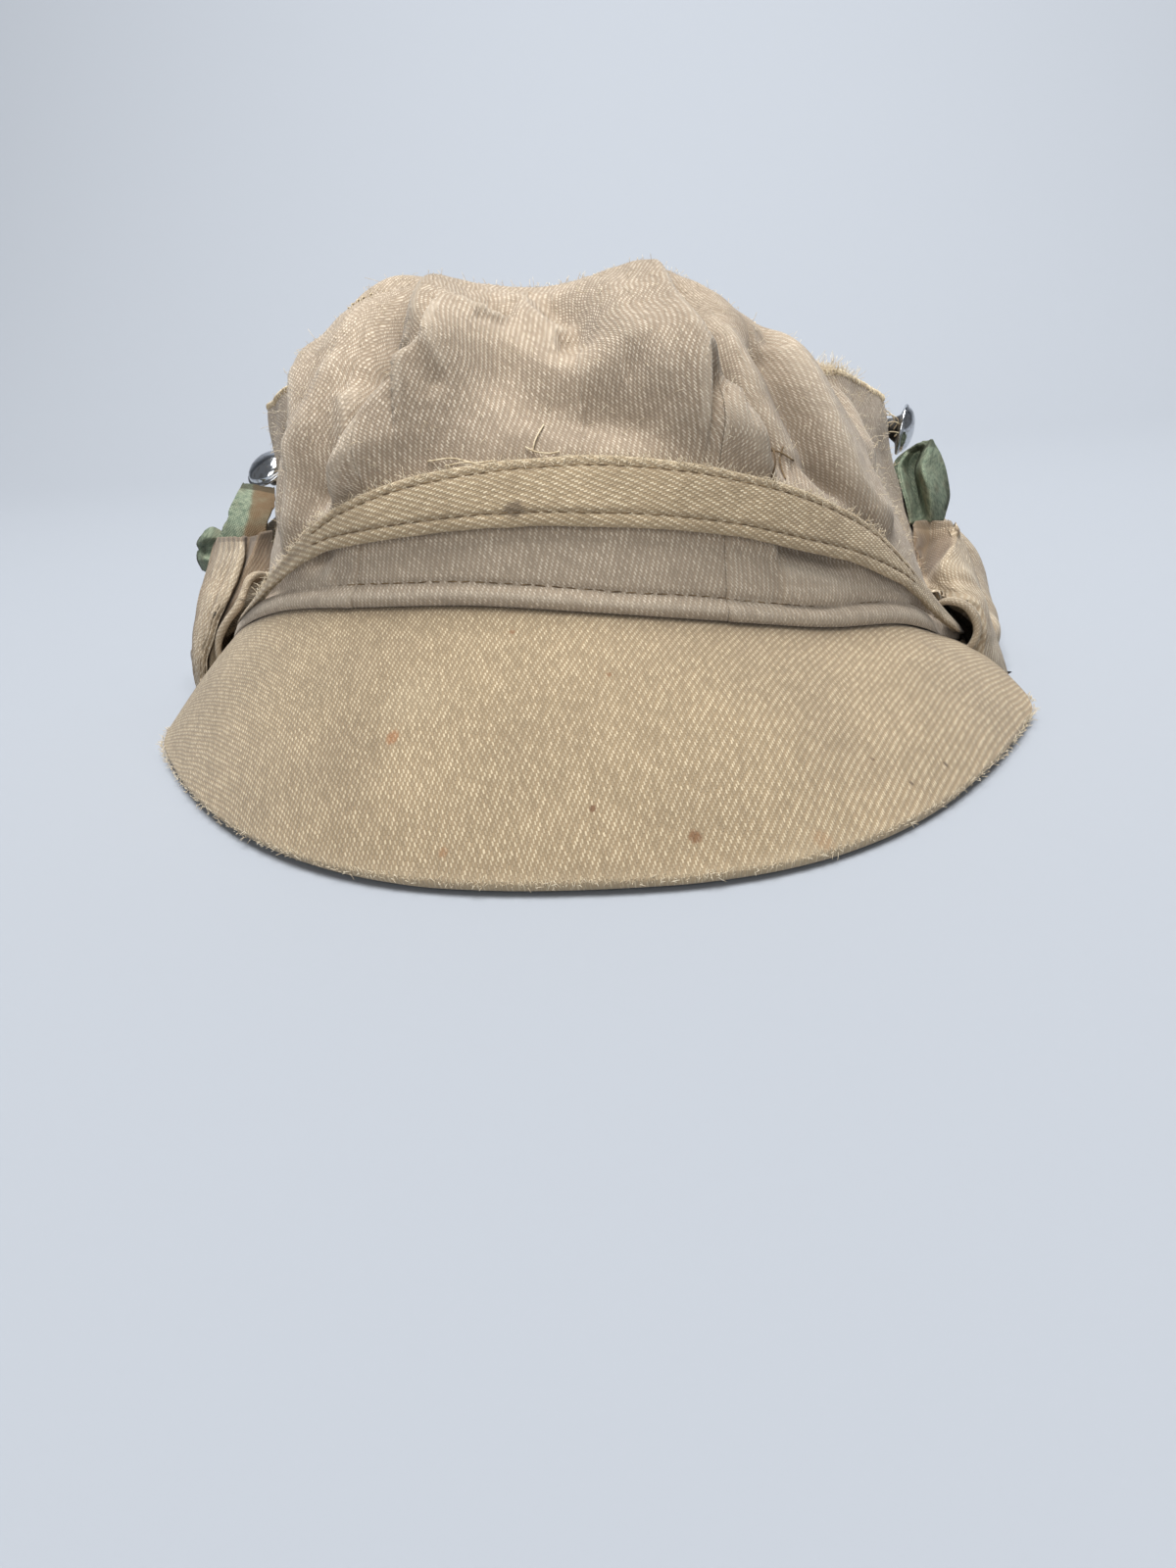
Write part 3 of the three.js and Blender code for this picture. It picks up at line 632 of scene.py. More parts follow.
def wandered(tree, place):
    """The place moved a little by slow and by quick noise, so that no thread runs quite straight."""
    bent = place
    for scale, size in WANDER:
        cloud = node(tree, "TexNoise", {"Vector": place, "Scale": scale, "Detail": 1.0}).outputs[1]
        shift = node(tree, "VectorMath", {0: cloud, 1: (0.5, 0.5, 0.5)}, operation="SUBTRACT")
        shift = node(tree, "VectorMath", {0: shift.outputs[0], 3: size}, operation="SCALE")
        bent = node(tree, "VectorMath", {0: bent, 1: shift.outputs[0]}, operation="ADD").outputs[0]
    return bent


def floats(tree, place):
    """A random number for the float that a place is on, and the float's rounded height there."""
    parts = node(tree, "SeparateXYZ", {0: place})
    threads = maths(tree, "DIVIDE", parts.outputs[0], THREAD)
    number = maths(tree, "FLOOR", threads)
    climbed = maths(tree, "MULTIPLY", number, PICK)
    run = maths(tree, "DIVIDE", maths(tree, "SUBTRACT", parts.outputs[1], climbed), REPEAT)
    which = node(tree, "CombineXYZ", {0: number, 1: maths(tree, "FLOOR", run)}).outputs[0]
    chance = node(tree, "TexWhiteNoise", {"Vector": which}, noise_dimensions="2D").outputs[0]
    step = maths(tree, "FRACT", run)
    dive = ramp(tree, step, FLOAT_SHARE, FLOAT_SHARE - FLOAT_TAPER)
    over = maths(tree, "MULTIPLY", ramp(tree, step, 0, FLOAT_TAPER), dive)
    side = maths(tree, "MULTIPLY", maths(tree, "FRACT", threads), 2.0)
    side = maths(tree, "SUBTRACT", side, 1.0)
    round_top = maths(tree, "SUBTRACT", 1.0, maths(tree, "MULTIPLY", side, side))
    return chance, maths(tree, "MULTIPLY", over, round_top)


def twill(name, yarn, pale, weft, spots=()):
    """Floats of the yarn's tones over the weft, with soil, rub and stain from the wear attribute."""
    material, tree, shader = new_material(name)
    place = node(tree, "UVMap", uv_map="cloth").outputs[0]
    bent = wandered(tree, place)
    chance, height = floats(tree, bent)
    fleck = maths(tree, "SUBTRACT", noise(tree, place, 0.9, 3.0, 0.7), 0.5)
    drift = maths(tree, "ADD", chance, maths(tree, "MULTIPLY", fleck, 0.8))
    colour = blend(tree, ramp(tree, drift, -0.25, 1.45), yarn, pale)
    colour = blend(tree, maths(tree, "SUBTRACT", 1.0, height), colour, weft)
    cloud = noise(tree, node(tree, "TexCoord").outputs["Object"], 38.0, 4.0, 0.6)
    shade = maths(tree, "ADD", 0.9, maths(tree, "MULTIPLY", chance, 0.2))
    shade = maths(tree, "MULTIPLY", shade, ramp(tree, cloud, 0.25, 0.75, 0.9, 1.08))
    tone = node(tree, "CombineColor", {0: shade, 1: shade, 2: shade}).outputs[0]
    colour = blend(tree, 1.0, colour, tone, "MULTIPLY")
    soil_and_shade, paler, brown = wear_and_shade_channels(tree)
    # The pale channel: rubbed wear, and on the crown's band painted light.
    colour = blend(tree, maths(tree, "MULTIPLY", paler, 0.45), colour, pale)
    colour = blend(tree, maths(tree, "MULTIPLY", brown, 0.85), colour, STAIN)
    # The dark channel: soiling, and painted shade in hollows, creases and grooves.
    colour = blend(tree, maths(tree, "MULTIPLY", soil_and_shade, 0.8), colour, SOIL_AND_SHADE)
    for x, y, radius, strength, tint in spots:
        away = node(tree, "VectorMath", {0: bent, 1: (x, y, 0)}, operation="DISTANCE").outputs[1]
        colour = blend(tree, ramp(tree, away, radius, radius * 0.45, 0, strength), colour, tint)
    fuzz = maths(tree, "MULTIPLY", noise(tree, place, 4.0, 2.0), 0.5)
    dress(tree, shader, colour, 0.95, 0.18)
    emboss(tree, shader, maths(tree, "ADD", height, fuzz), 0.00016, 0.7)
    shader.inputs["Sheen Weight"].default_value = 0.12
    shader.inputs["Sheen Roughness"].default_value = 0.6
    return material


CROWN_TWILL = twill("crown_twill", rgb(168, 152, 132), rgb(210, 197, 177), rgb(147, 130, 110))
STRAP_TWILL = twill("strap_twill", rgb(169, 151, 124), rgb(208, 194, 167), rgb(148, 129, 101))
FLAP_TWILL = twill("flap_twill", rgb(170, 154, 131), rgb(208, 195, 172), rgb(144, 127, 104))
print("twills:", [m.name for m in (CROWN_TWILL, STRAP_TWILL, FLAP_TWILL)])

# %% [markdown]
# ## Crown panels
#
# The crown has a front panel between two upright seams, a panel on each side that runs to a seam
# at the back, and a top panel. Each is cut from the one surface above, so they meet exactly. The
# columns of a side panel are close together in front, where folds are sharp, and further apart
# behind.
#
# Painted shade lies along some folds, where the cloth falls away from the light. Each line of
# it is a row of a table: three points of a curve, like a fold's, a width and a strength.

# %% Wall panels
CLOTH = 1.5
FOLD_SHADE = table(
    "a_angle a_share b_angle b_share c_angle c_share width strength",
    (-20.5, 0.98, -19, 0.76, -17.5, 0.56, 6, 0.42),
    (-17, 0.55, -24, 0.42, -27.5, 0.28, 4, 0.3),
    (22, 0.98, 21.5, 0.72, 23.5, 0.52, 6, 0.45),
    (25, 0.5, 30, 0.4, 33, 0.28, 4, 0.3),
    (34.5, 0.8, 35.5, 0.52, 38.5, 0.34, 5, 0.4),
    (38.5, 0.36, 41, 0.31, 44.5, 0.26, 3, 0.4),
    (-34, 0.7, -33, 0.5, -30.5, 0.25, 3, 0.25),
    (46, 0.8, 50, 0.5, 50, 0.28, 4, 0.2),
)


def crown_wear_and_shade(angle, share):
    """Painted shade in hollows, along folds, at seams and above the strap; patchy soiling; rubbed ridges;
    painted light on the band.
    """
    angle, share = np.broadcast_arrays(angle, share)
    lift = crown_lift(angle, share)
    point = smooth_crown(angle, share)
    deep = hollows(lift)
    # Painted shade in the hollows of the relief, and patchy soiling.
    soil_and_shade = 0.30 * smoothstep(deep, 0.1, 0.9) + 0.12 * smoothstep(crumple(point, 14, 11), 0.1, 0.8)
    above = point[..., 2] - along(STRAP, "top", np.clip(angle, -STRAP_END, STRAP_END))
    # Painted shade above the strap's top edge, where the cloth pouches over it, mottled.
    shade_above_strap = 0.55 * hump(above, 0, 5) * hump(angle, -7, 9) + 0.3 * hump(above, 3, 7) * hump(angle, 4, 10)
    soil_and_shade = soil_and_shade + shade_above_strap * (0.7 + 0.5 * crumple(point, 4, 12)) * (above > -3)
    seam = np.minimum(np.abs(angle - left_seam(share)), np.abs(angle - RIGHT_SEAM)) * DEGREE_WIDTH
    # Painted shade in the groove of each upright seam below the strap.
    soil_and_shade = soil_and_shade + 0.15 * hump(seam, 0, 0.5) * (share < 0.3)
    # Each row of the table adds painted shade along a fold, where the cloth falls away from the light.
    for shade_streak in rows_of(FOLD_SHADE):
        distance = distance_to(shade_streak, angle * DEGREE_WIDTH, share * WALL_LENGTH)[0]
        soil_and_shade = soil_and_shade + shade_streak["strength"] * hump(distance, 0, shade_streak["width"])
    below = along(STRAP, "bottom", np.clip(angle, -STRAP_END, STRAP_END)) - point[..., 2]
    # Rubbed ridges are real wear; the paler band under the strap is painted light against the strap's
    # shadow.
    paler = 0.5 * smoothstep(-deep, 0.1, 0.7) + 0.28 * smoothstep(below, -1, 3) * (np.abs(angle) < STRAP_END)
    return np.stack([soil_and_shade, paler, 0 * lift], -1)


def wall_panel(name, across, low_edge, high_edge, rows, lean):
    """A panel between two seams, each an angle for every share of the way up."""
    share = spread(0, 1, rows, 0.012)[None, :]
    low, high = low_edge(share), high_edge(share)
    angle = low + (high - low) * across[:, None]
    grid = crown(angle, share)
    piece = shell(name, grid, CLOTH, flat_places(grid, lean), crown_wear_and_shade(angle, share), 0.04)
    settle(piece, CROWN_TWILL, "crown_twill", name)
    cut_cloth(grid)


def upright(angle):
    """A seam that keeps one angle all the way up."""
    return lambda share: angle + 0 * share


FINE_SHARE = 0.56
SIDE_COLUMNS = np.concatenate([
    spread(0, FINE_SHARE, 190, 0.005)[:-3],
    np.linspace(FINE_SHARE, 1, 48),
])
LEFT_LEAN, RIGHT_LEAN = -36, -26
wall_panel("crown_front", spread(0, 1, 140, 0.01), left_seam, upright(RIGHT_SEAM), 160, LEAN)
wall_panel("crown_left", 1 - SIDE_COLUMNS[::-1], upright(-180), left_seam, 104, LEFT_LEAN)
wall_panel("crown_right", SIDE_COLUMNS, upright(RIGHT_SEAM), upright(180), 104, RIGHT_LEAN)

# %% [markdown]
# ## Top panel
#
# The top panel is round. Rings that close on a middle point would pinch the weave there, so a
# square grid is bent to a disc instead: x = a * sqrt(1 - b^2 / 2) and y = b * sqrt(1 - a^2 / 2).
# A place on the disc has a distance from its middle, which gives the share, and a direction,
# which gives the angle.

# %% Top
def top_panel():
    """The disc of shares 1 to 2, with its edge at the top seam."""
    a, b = np.meshgrid(spread(-1, 1, 126, 0.02), spread(-1, 1, 126, 0.02), indexing="ij")
    x, y = a * np.sqrt(1 - b**2 / 2), b * np.sqrt(1 - a**2 / 2)
    angle, share = np.degrees(np.arctan2(x, -y)), 2 - 0.9995 * np.minimum(np.hypot(x, y), 1)
    grid = crown(angle, share)
    piece = shell("crown_top", grid, CLOTH, flat_places(grid, LEAN), crown_wear_and_shade(angle, share), 0.04)
    settle(piece, CROWN_TWILL, "crown_twill", "crown_top")
    cut_cloth(grid)


top_panel()

# %% [markdown]
# ## Peak
#
# The real peak is twill over a stiff board, so it is the one flat, crisp piece. Straight lines
# run from the band's lower edge to a curved outer edge, and its middle is a little crowned. We
# build it from those lines too, with a rounded edge as thick as board and cloth together.

# %% Peak
PEAK_END, PEAK_FRONT, PEAK_HALF_SPAN, PEAK_CORNER_BACK = 76, 143.2, 100, 60.5
PEAK_TURN, PEAK_ASIDE, PEAK_LOPSIDED, PEAK_CORNER = 2.55, 8, 7, 0.16
PEAK_CROWN, PEAK_CROWN_LOSS, PEAK_EDGE_HEIGHT, PEAK_BOARD, PEAK_SEAM_DROP = 3.5, 1.5, 2.1, 2.8, 0.12
SPOTS = (
    (-63.8, -130.8, 1.7, 0.6, rgb(140, 92, 56)),
    (-15.7, -165.0, 1.5, 0.8, rgb(104, 72, 46)),
    (-31.8, -157.0, 0.8, 0.75, rgb(96, 66, 44)),
    (40.0, -140.5, 0.7, 0.8, rgb(80, 62, 46)),
    (29.7, -149.1, 0.6, 0.8, rgb(80, 62, 46)),
    (23.1, -146.5, 0.6, 0.7, rgb(90, 66, 46)),
    (-38.1, -117.5, 0.7, 0.7, rgb(120, 84, 54)),
    (-22.5, -131.6, 0.7, 0.6, rgb(120, 84, 54)),
    (-58.4, -154.7, 1.1, 0.45, rgb(132, 92, 58)),
    (54.9, -98.4, 3.4, 0.3, rgb(110, 96, 78)),
    (6.7, -165.6, 2.4, 0.3, rgb(134, 98, 64)),
)
PEAK_LEAN, PEAK_STRETCH_ACROSS, PEAK_STRETCH_ALONG = -15.4, 1.03, 1.2
PEAK_TWILL = twill("peak_twill", rgb(155, 138, 112), rgb(192, 177, 149), rgb(136, 118, 92), SPOTS)


def peak_point(turn, share):
    """Lines from the curved edge, share 0, to the band, share 1.

    Each is (1 - r) * seam + r * edge + crown * 4r(1 - r), where r is 1 at the curved edge.
    """
    seam = rim_point(PEAK_END * turn) - UP * PEAK_SEAM_DROP
    across = np.sin(np.pi / 2 * turn)
    edge = np.stack([
        PEAK_ASIDE + PEAK_HALF_SPAN * across - PEAK_LOPSIDED * across**2,
        -PEAK_FRONT + (PEAK_FRONT - PEAK_CORNER_BACK) * np.abs(across) ** PEAK_TURN,
        PEAK_EDGE_HEIGHT + 0 * across,
    ], -1)
    past = np.maximum((np.abs(turn) - 1 + PEAK_CORNER) / PEAK_CORNER, 0)
    r = ((1 - share) * (1 - PEAK_CORNER * past**2.5))[..., None]
    point = seam * (1 - r) + edge * r
    height = (PEAK_CROWN - PEAK_CROWN_LOSS * np.abs(turn)) * (4 * r * (1 - r))[..., 0]
    slack = 0.5 * crumple(point, 30, 21) + 0.14 * crumple(point, 9, 22)
    return point + UP * (height + slack * np.sin(np.pi * np.clip(r[..., 0], 0, 1)) ** 0.5)[..., None]


def peak():
    """The peak's grid, its rounded rim, and a rubbed outer edge."""
    turn, share = np.meshgrid(spread(-1, 1, 210, 0.012), spread(0, 1.04, 80, 0.03), indexing="ij")
    grid = peak_point(turn, share)
    u, v = grid[..., 0] * PEAK_STRETCH_ACROSS, grid[..., 1] * PEAK_STRETCH_ALONG
    rubbed = 0.6 * hump(share, 0, 0.03) + 0.25 * smoothstep(crumple(grid, 22, 23), 0.2, 0.8)
    # Painted shade in the crevice under the band, at share 1, and patchy soiling.
    soil_and_shade = 0.45 * hump(share, 1, 0.03) + 0.16 * smoothstep(crumple(grid, 17, 24), 0.1, 0.8)
    wear = np.stack([soil_and_shade, rubbed, 0.12 * hump(share, 0, 0.05)], -1)
    piece = shell("peak", grid, PEAK_BOARD, turned(u, v, PEAK_LEAN), wear)
    settle(piece, PEAK_TWILL, "peak_twill", "peak")


peak()

# %% [markdown]
# ## Strap
#
# The strap is a folded tape of the same twill, cut across, so its ribs run along it. It is sewn
# near both edges, and cloth between two rows of stitches puffs up. A power of the place across
# gives that puff, and a narrow bell curve sinks each row. The edges wave a little.

# %% Strap
STRAP_CLOTH, STRAP_LEAN = 1.8, 74
TOP_ROW, BOTTOM_ROW = 1.9, 2.7
SMUDGE_ANGLE, SMUDGE_SHARE = -2.1, 0.27


def strap_width(angle):
    """Height from the strap's lower edge to its upper edge."""
    return along(STRAP, "top", angle) - along(STRAP, "bottom", angle)


def strap_point(angle, share):
    """The wall, moved out by the strap's own stand-off, with puffed middle and sunk stitch rows."""
    low, width = along(STRAP, "bottom", angle), strap_width(angle)
    wave = 0.22 * crumple(outward(angle) * 90, 12, 31) + 0.12 * crumple(outward(angle) * 90, 4, 32)
    from_top, from_bottom = (1 - share) * width, share * width
    rows = hump(from_top, TOP_ROW, 0.45) + hump(from_bottom, BOTTOM_ROW, 0.45)
    puff = 0.5 * (1 - (2 * share - 1) ** 4) - 0.3 * rows * smoothstep(width, 6, 8)
    point = wall_point(angle, low + width * share + wave * (2 * share - 1))
    slack = 0.25 * crumple(point, 8, 33) + 0.12 * crumple(point, 3.5, 34)
    off = along(STRAP, "proud", angle) + STRAP_CLOTH + puff + slack * np.sin(np.pi * share)
    return point + outward(angle) * off[..., None]


def strap():
    """The strap's grid, from one side of the cap to the other."""
    turn = spread(-STRAP_END, STRAP_END, 380, 0.4)
    angle, share = np.meshgrid(turn, spread(0, 1, 34, 0.05), indexing="ij")
    grid = strap_point(angle, share)
    width = strap_width(angle)
    rows = hump((1 - share) * width, TOP_ROW, 0.5) + hump(share * width, BOTTOM_ROW, 0.5)
    spot = 1.5 * hump(angle, SMUDGE_ANGLE, 1.3) * hump(share, SMUDGE_SHARE, 0.14)
    smudge = smoothstep(spot + 0.5 * crumple(grid, 1.4, 35), 0.6, 1)
    ends, patches = smoothstep(np.abs(angle), 55, 75), smoothstep(crumple(grid, 9, 36), 0, 0.8)
    # The darkening along the stitch rows is painted shade in their grooves.
    soil_and_shade = 0.3 * rows + smudge + 0.3 * ends + 0.15 * patches
    paler = 0.5 * hump(share, 1, 0.07) + 0.4 * hump(share, 0, 0.06)
    wear = np.stack([soil_and_shade, paler, 0 * soil_and_shade], -1)
    piece = shell("strap", grid, STRAP_CLOTH, flat_places(grid, STRAP_LEAN), wear)
    settle(piece, STRAP_TWILL, "strap_twill", "strap")
    cut_cloth(grid)


strap()

# %% [markdown]
# ## Ear and neck flap
#
# The flap starts at the band's lower edge, runs down to the floor, turns a soft fold there and
# comes up again outside the crown, where its top edge is tied back. So its section at each angle
# is one open curve through six points. The gathers at its front, under the peak's end, are ridges
# that run up and down the section: cosines of the angle, strongest in front.

# %% Flap
FLAP_KNOTS = np.array([0, 0.16, 0.3, 0.52, 0.78, 1])
FLAP_RIGHT = table(
    "angle fold swell swell_height mid mid_height off top",
    (74, 6, 8, 8, 5, 10, 2.4, 13),
    (84, 8, 10, 9, 4.5, 18, 3.2, 27),
    (93, 9, 11, 10, 5, 24, 3, 37),
    (104, 9, 11, 11, 6, 26, 2.8, 40),
    (135, 9, 11, 12, 7, 26, 2.6, 38),
    (180, 9, 11, 12, 7, 26, 2.6, 38),
)
FLAP_LEFT = table(
    "angle fold swell swell_height mid mid_height off top",
    (74, 6, 8, 9, 4, 14, 2.4, 18),
    (84, 9, 13, 13, 7.5, 24, 5, 31),
    (93, 9, 13.5, 14, 8, 31, 4.5, 44),
    (104, 9, 12.5, 13, 8, 29, 3, 44),
    (135, 9, 12, 12, 8, 26, 2.6, 39),
    (180, 9, 11, 12, 7, 26, 2.6, 38),
)
FLAP_FRONT, FLAP_START, FLAP_END = 74, 77.5, 179.9
GATHER_PITCH, FLAP_LEAN = 4.6, -10


def flap_point(rows, sign, angle, share):
    """At each angle a curve through six points: rim, floor, floor, swell, middle and top edge."""
    row = {name: along(rows, name, angle) for name in rows}
    rim, out = rim_point(sign * angle), outward(sign * angle)
    top = wall_point(sign * angle, row["top"], row["off"])
    top_out = ((top - rim) * out).sum(-1)
    zero = 0 * angle
    outs = [zero, 0.35 * row["fold"], 0.85 * row["fold"], row["swell"], row["mid"], top_out]
    start = rim[..., 2] - 0.3
    heights = [start, zero, zero - 0.2, row["swell_height"], row["mid_height"], row["top"]]
    away = hermite(FLAP_KNOTS, np.stack(outs, -1), share)
    height = np.maximum(hermite(FLAP_KNOTS, np.stack(heights, -1), share), 0.06)
    point = rim[:, None] + out[:, None] * away[..., None]
    point[..., 2] = height
    forward = 9 * hump(angle, FLAP_FRONT, 9)[:, None] * np.sin(np.pi * np.minimum(share / 0.9, 1))
    point[..., 1] -= forward
    point[..., 0] -= sign * 0.15 * forward
    return point


def flap(name, rows, sign):
    """A flap's grid, then gathers and slack along its normal where it is off the floor."""
    angle = np.sort(sign * spread(FLAP_START, FLAP_END, 160, 0.4))
    share = spread(0, 1, 96, 0.01)
    grid = flap_point(rows, sign, np.abs(angle), share)
    turn = np.abs(angle)[:, None]
    front = hump(turn, FLAP_FRONT, 16)
    gathers = np.cos(2 * np.pi * (turn / GATHER_PITCH + 0.6 * share + 0.35 * crumple(grid, 12, 41)))
    free = smoothstep(share, 0.3, 0.42) * (1 - smoothstep(share, 0.93, 1))
    tall = 0.8 * crumple(grid * (1, 1, 0.35), 9, 44)
    slack = 0.8 * crumple(grid, 14, 42) + 0.35 * crumple(grid, 6, 43) + tall
    lift = free * (0.6 * front * gathers + slack)
    grid = grid + normals(grid) * lift[..., None]
    deep = hollows(lift, 3)
    # Painted shade in the hollows of the gathers and slack, and patchy soiling.
    soil_and_shade = 0.4 * smoothstep(deep, 0.05, 0.6) + 0.15 * smoothstep(crumple(grid, 10, 45), 0, 0.8)
    brown = 0.2 * smoothstep(crumple(grid, 16, 46), 0.1, 0.7)
    wear = np.stack([soil_and_shade, 0.5 * smoothstep(-deep, 0.05, 0.5), brown], -1)
    piece = shell(name, grid, CLOTH, flat_places(grid, FLAP_LEAN), wear)
    settle(piece, FLAP_TWILL, "flap_twill", name)
    cut_cloth(grid)


flap("flap_right", FLAP_RIGHT, 1)
flap("flap_left", FLAP_LEFT, -1)

# %% [markdown]
# ## Pleats in front of the flap
#
# In front, under the buttons, the folded flap is gathered, so its cloth turns in again towards
# the crown and closes the hollow behind the peak's corner. Each of these pleats is a net: a few
# paths that lie side by side, with a smooth curve along each path and a second one across them
# all. The left pleat also has fine ribs, a cosine of the share across it.

# %% Pleats
PLEAT_CLOTH, RIB_HEIGHT = 1.2, 0.4


def curve_through(points, x):
    """Catmull-Rom curve: cubics that pass through the points, first to last, at shares x of the way."""
    p = np.array(points, float)
    p = np.concatenate([2 * p[:1] - p[1:2], p, 2 * p[-1:] - p[-2:-1]])
    t = x * (len(p) - 3)
    i = np.minimum(t.astype(int), len(p) - 4)
    s = (t - i).reshape(-1, *[1] * (p.ndim - 1))
    a, b, c, d = (p[i + k] for k in range(4))
    return 0.5 * (2 * b + (c - a) * s + (2 * a - 5 * b + 4 * c - d) * s**2 + (3 * b - a - 3 * c + d) * s**3)


def reach_along(path):
    """Distance along a path from its first point, at each of its points."""
    return np.concatenate([[0], np.cumsum(np.linalg.norm(np.diff(path, axis=0), axis=-1))])


def sampled(values, reach, at):
    """Rows of three numbers, known at the distances reach, read at other distances."""
    return np.stack([np.interp(at, reach, values[:, k]) for k in range(3)], -1)


def smooth_path(points, count):
    """The curve through the points, evenly sampled along its length."""
    path = curve_through(points, np.linspace(0, 1, 40 * (len(points) - 1) + 1))
    reach = reach_along(path)
    return sampled(path, reach, np.linspace(0, reach[-1], count))


def net(paths, columns, rows, slack, seed):
    """A sheet through paths side by side, with a smooth curve across them, then crumpled."""
    lines = np.stack([smooth_path(path, rows) for path in paths])
    grid = curve_through(lines, spread(0, 1, columns, 0.02))
    lift = slack * (crumple(grid, 5, seed) + 0.45 * crumple(grid, 2.4, seed + 1))
    edge = np.sin(np.pi * np.linspace(0, 1, len(grid)))[:, None] ** 0.5
    return grid + normals(grid) * (lift * edge)[..., None]


def pleat(name, paths, brown_and_shade_at, ribs):
    """A gathered net with ribs, RIB_HEIGHT * cos(2 pi * ribs * share across), with painted shade in its
    hollows.
    """
    grid = net(paths, 90, 120, 0.35, 71)
    t = np.linspace(0, 1, grid.shape[0])[:, None]
    run = np.linspace(0, 1, grid.shape[1])[None, :]
    waver = t + 0.02 * crumple(grid, 9, 74)
    rib = RIB_HEIGHT * np.cos(2 * np.pi * ribs * waver) * (1 - smoothstep(t, 0.36, 0.46))
    grid = grid + normals(grid) * (rib * np.sin(np.pi * run) ** 0.5)[..., None]
    deep = hollows(-grid[..., 1], 6)
    brown_and_shade = brown_and_shade_at(t, run)
    brown = np.clip(brown_and_shade + 0.3 * crumple(grid, 5, 73), 0, 1)
    # Painted shade where the pleat lies further back and between its ribs, and in its brown fold.
    soil_and_shade = 0.7 * smoothstep(deep, 0.02, 0.5) + 0.5 * smoothstep(-rib, 0, 0.25) + 0.35 * brown_and_shade
    wear = np.stack([soil_and_shade, 0.4 * smoothstep(-deep, 0.02, 0.4) * (1 - brown), 0.8 * brown], -1)
    piece = shell(name, grid, PLEAT_CLOTH, flat_places(grid, FLAP_LEAN), wear)
    settle(piece, FLAP_TWILL, "flap_twill")
    cut_cloth(grid)


def left_brown_and_shade(t, run):
    """Brown on the inner half, from a third of the way up: partly stain, partly painted shade in the fold.
    """
    return smoothstep(t, 0.42, 0.54) * smoothstep(run, 0.3, 0.5)


def right_brown_and_shade(t, run):
    """Brown on the inner half near the top, and less at its very end: partly stain, partly painted shade in
    the dent.
    """
    near_top = smoothstep(run, 0.64, 0.74) * (1 - 0.8 * smoothstep(run, 0.9, 0.97))
    return near_top * (1 - smoothstep(t, 0.42, 0.6))


PLEAT_LEFT = (
    [(-103.3, -26, 4.8), (-102.9, -27, 8.8), (-102.6, -26, 15.0), (-101.7, -24, 20.7),
     (-101.3, -21, 24.9), (-101.2, -17, 28.6), (-101.1, -12, 32.4), (-100.9, -7, 36.6),
     (-100.3, -3, 40.6)],
    [(-99.0, -33, 6.7), (-98.5, -34, 11.1), (-97.8, -34, 16.2), (-96.1, -33, 21.4), (-94.8, -31, 25.9),
     (-93.4, -28, 30.1), (-92.2, -23, 34.2), (-91.4, -19, 38.4), (-92.3, -14, 42.1)],
    [(-96.4, -36, 7.5), (-95.5, -37, 12.4), (-94.4, -37, 16.9), (-92.0, -37, 21.3), (-90.1, -36, 25.6),
     (-87.5, -34, 29.9), (-86.0, -30, 34.1), (-85.1, -25, 39.2), (-86.6, -20, 42.8)],
    [(-97.3, -32, 6.9), (-96.6, -33, 11.3), (-95.4, -33, 15.8), (-93.3, -33, 20.0), (-91.8, -31, 24.0),
     (-88.9, -29, 28.6), (-87.7, -24, 32.4), (-86.9, -18, 37.7), (-87.2, -13, 41.8)],
    [(-95.5, -34, 7.9), (-94.8, -35, 12.3), (-93.8, -35, 16.3), (-91.7, -35, 20.5), (-89.5, -34, 24.6),
     (-87.2, -32, 28.7), (-85.5, -28, 32.7), (-83.2, -23, 38.5), (-82.2, -19, 43.1)],
    [(-91.7, -34, 11.8), (-92.1, -34, 16.5), (-91.1, -34, 20.4), (-88.7, -33, 24.1), (-85.7, -32, 27.7),
     (-83.9, -31, 30.8), (-83.0, -29, 33.3), (-81.6, -26, 34.0), (-78.9, -22, 33.8), (-80.2, -16, 38.5),
     (-80.8, -12, 42.8)],
)
pleat("pleat_left", PLEAT_LEFT, left_brown_and_shade, 16)
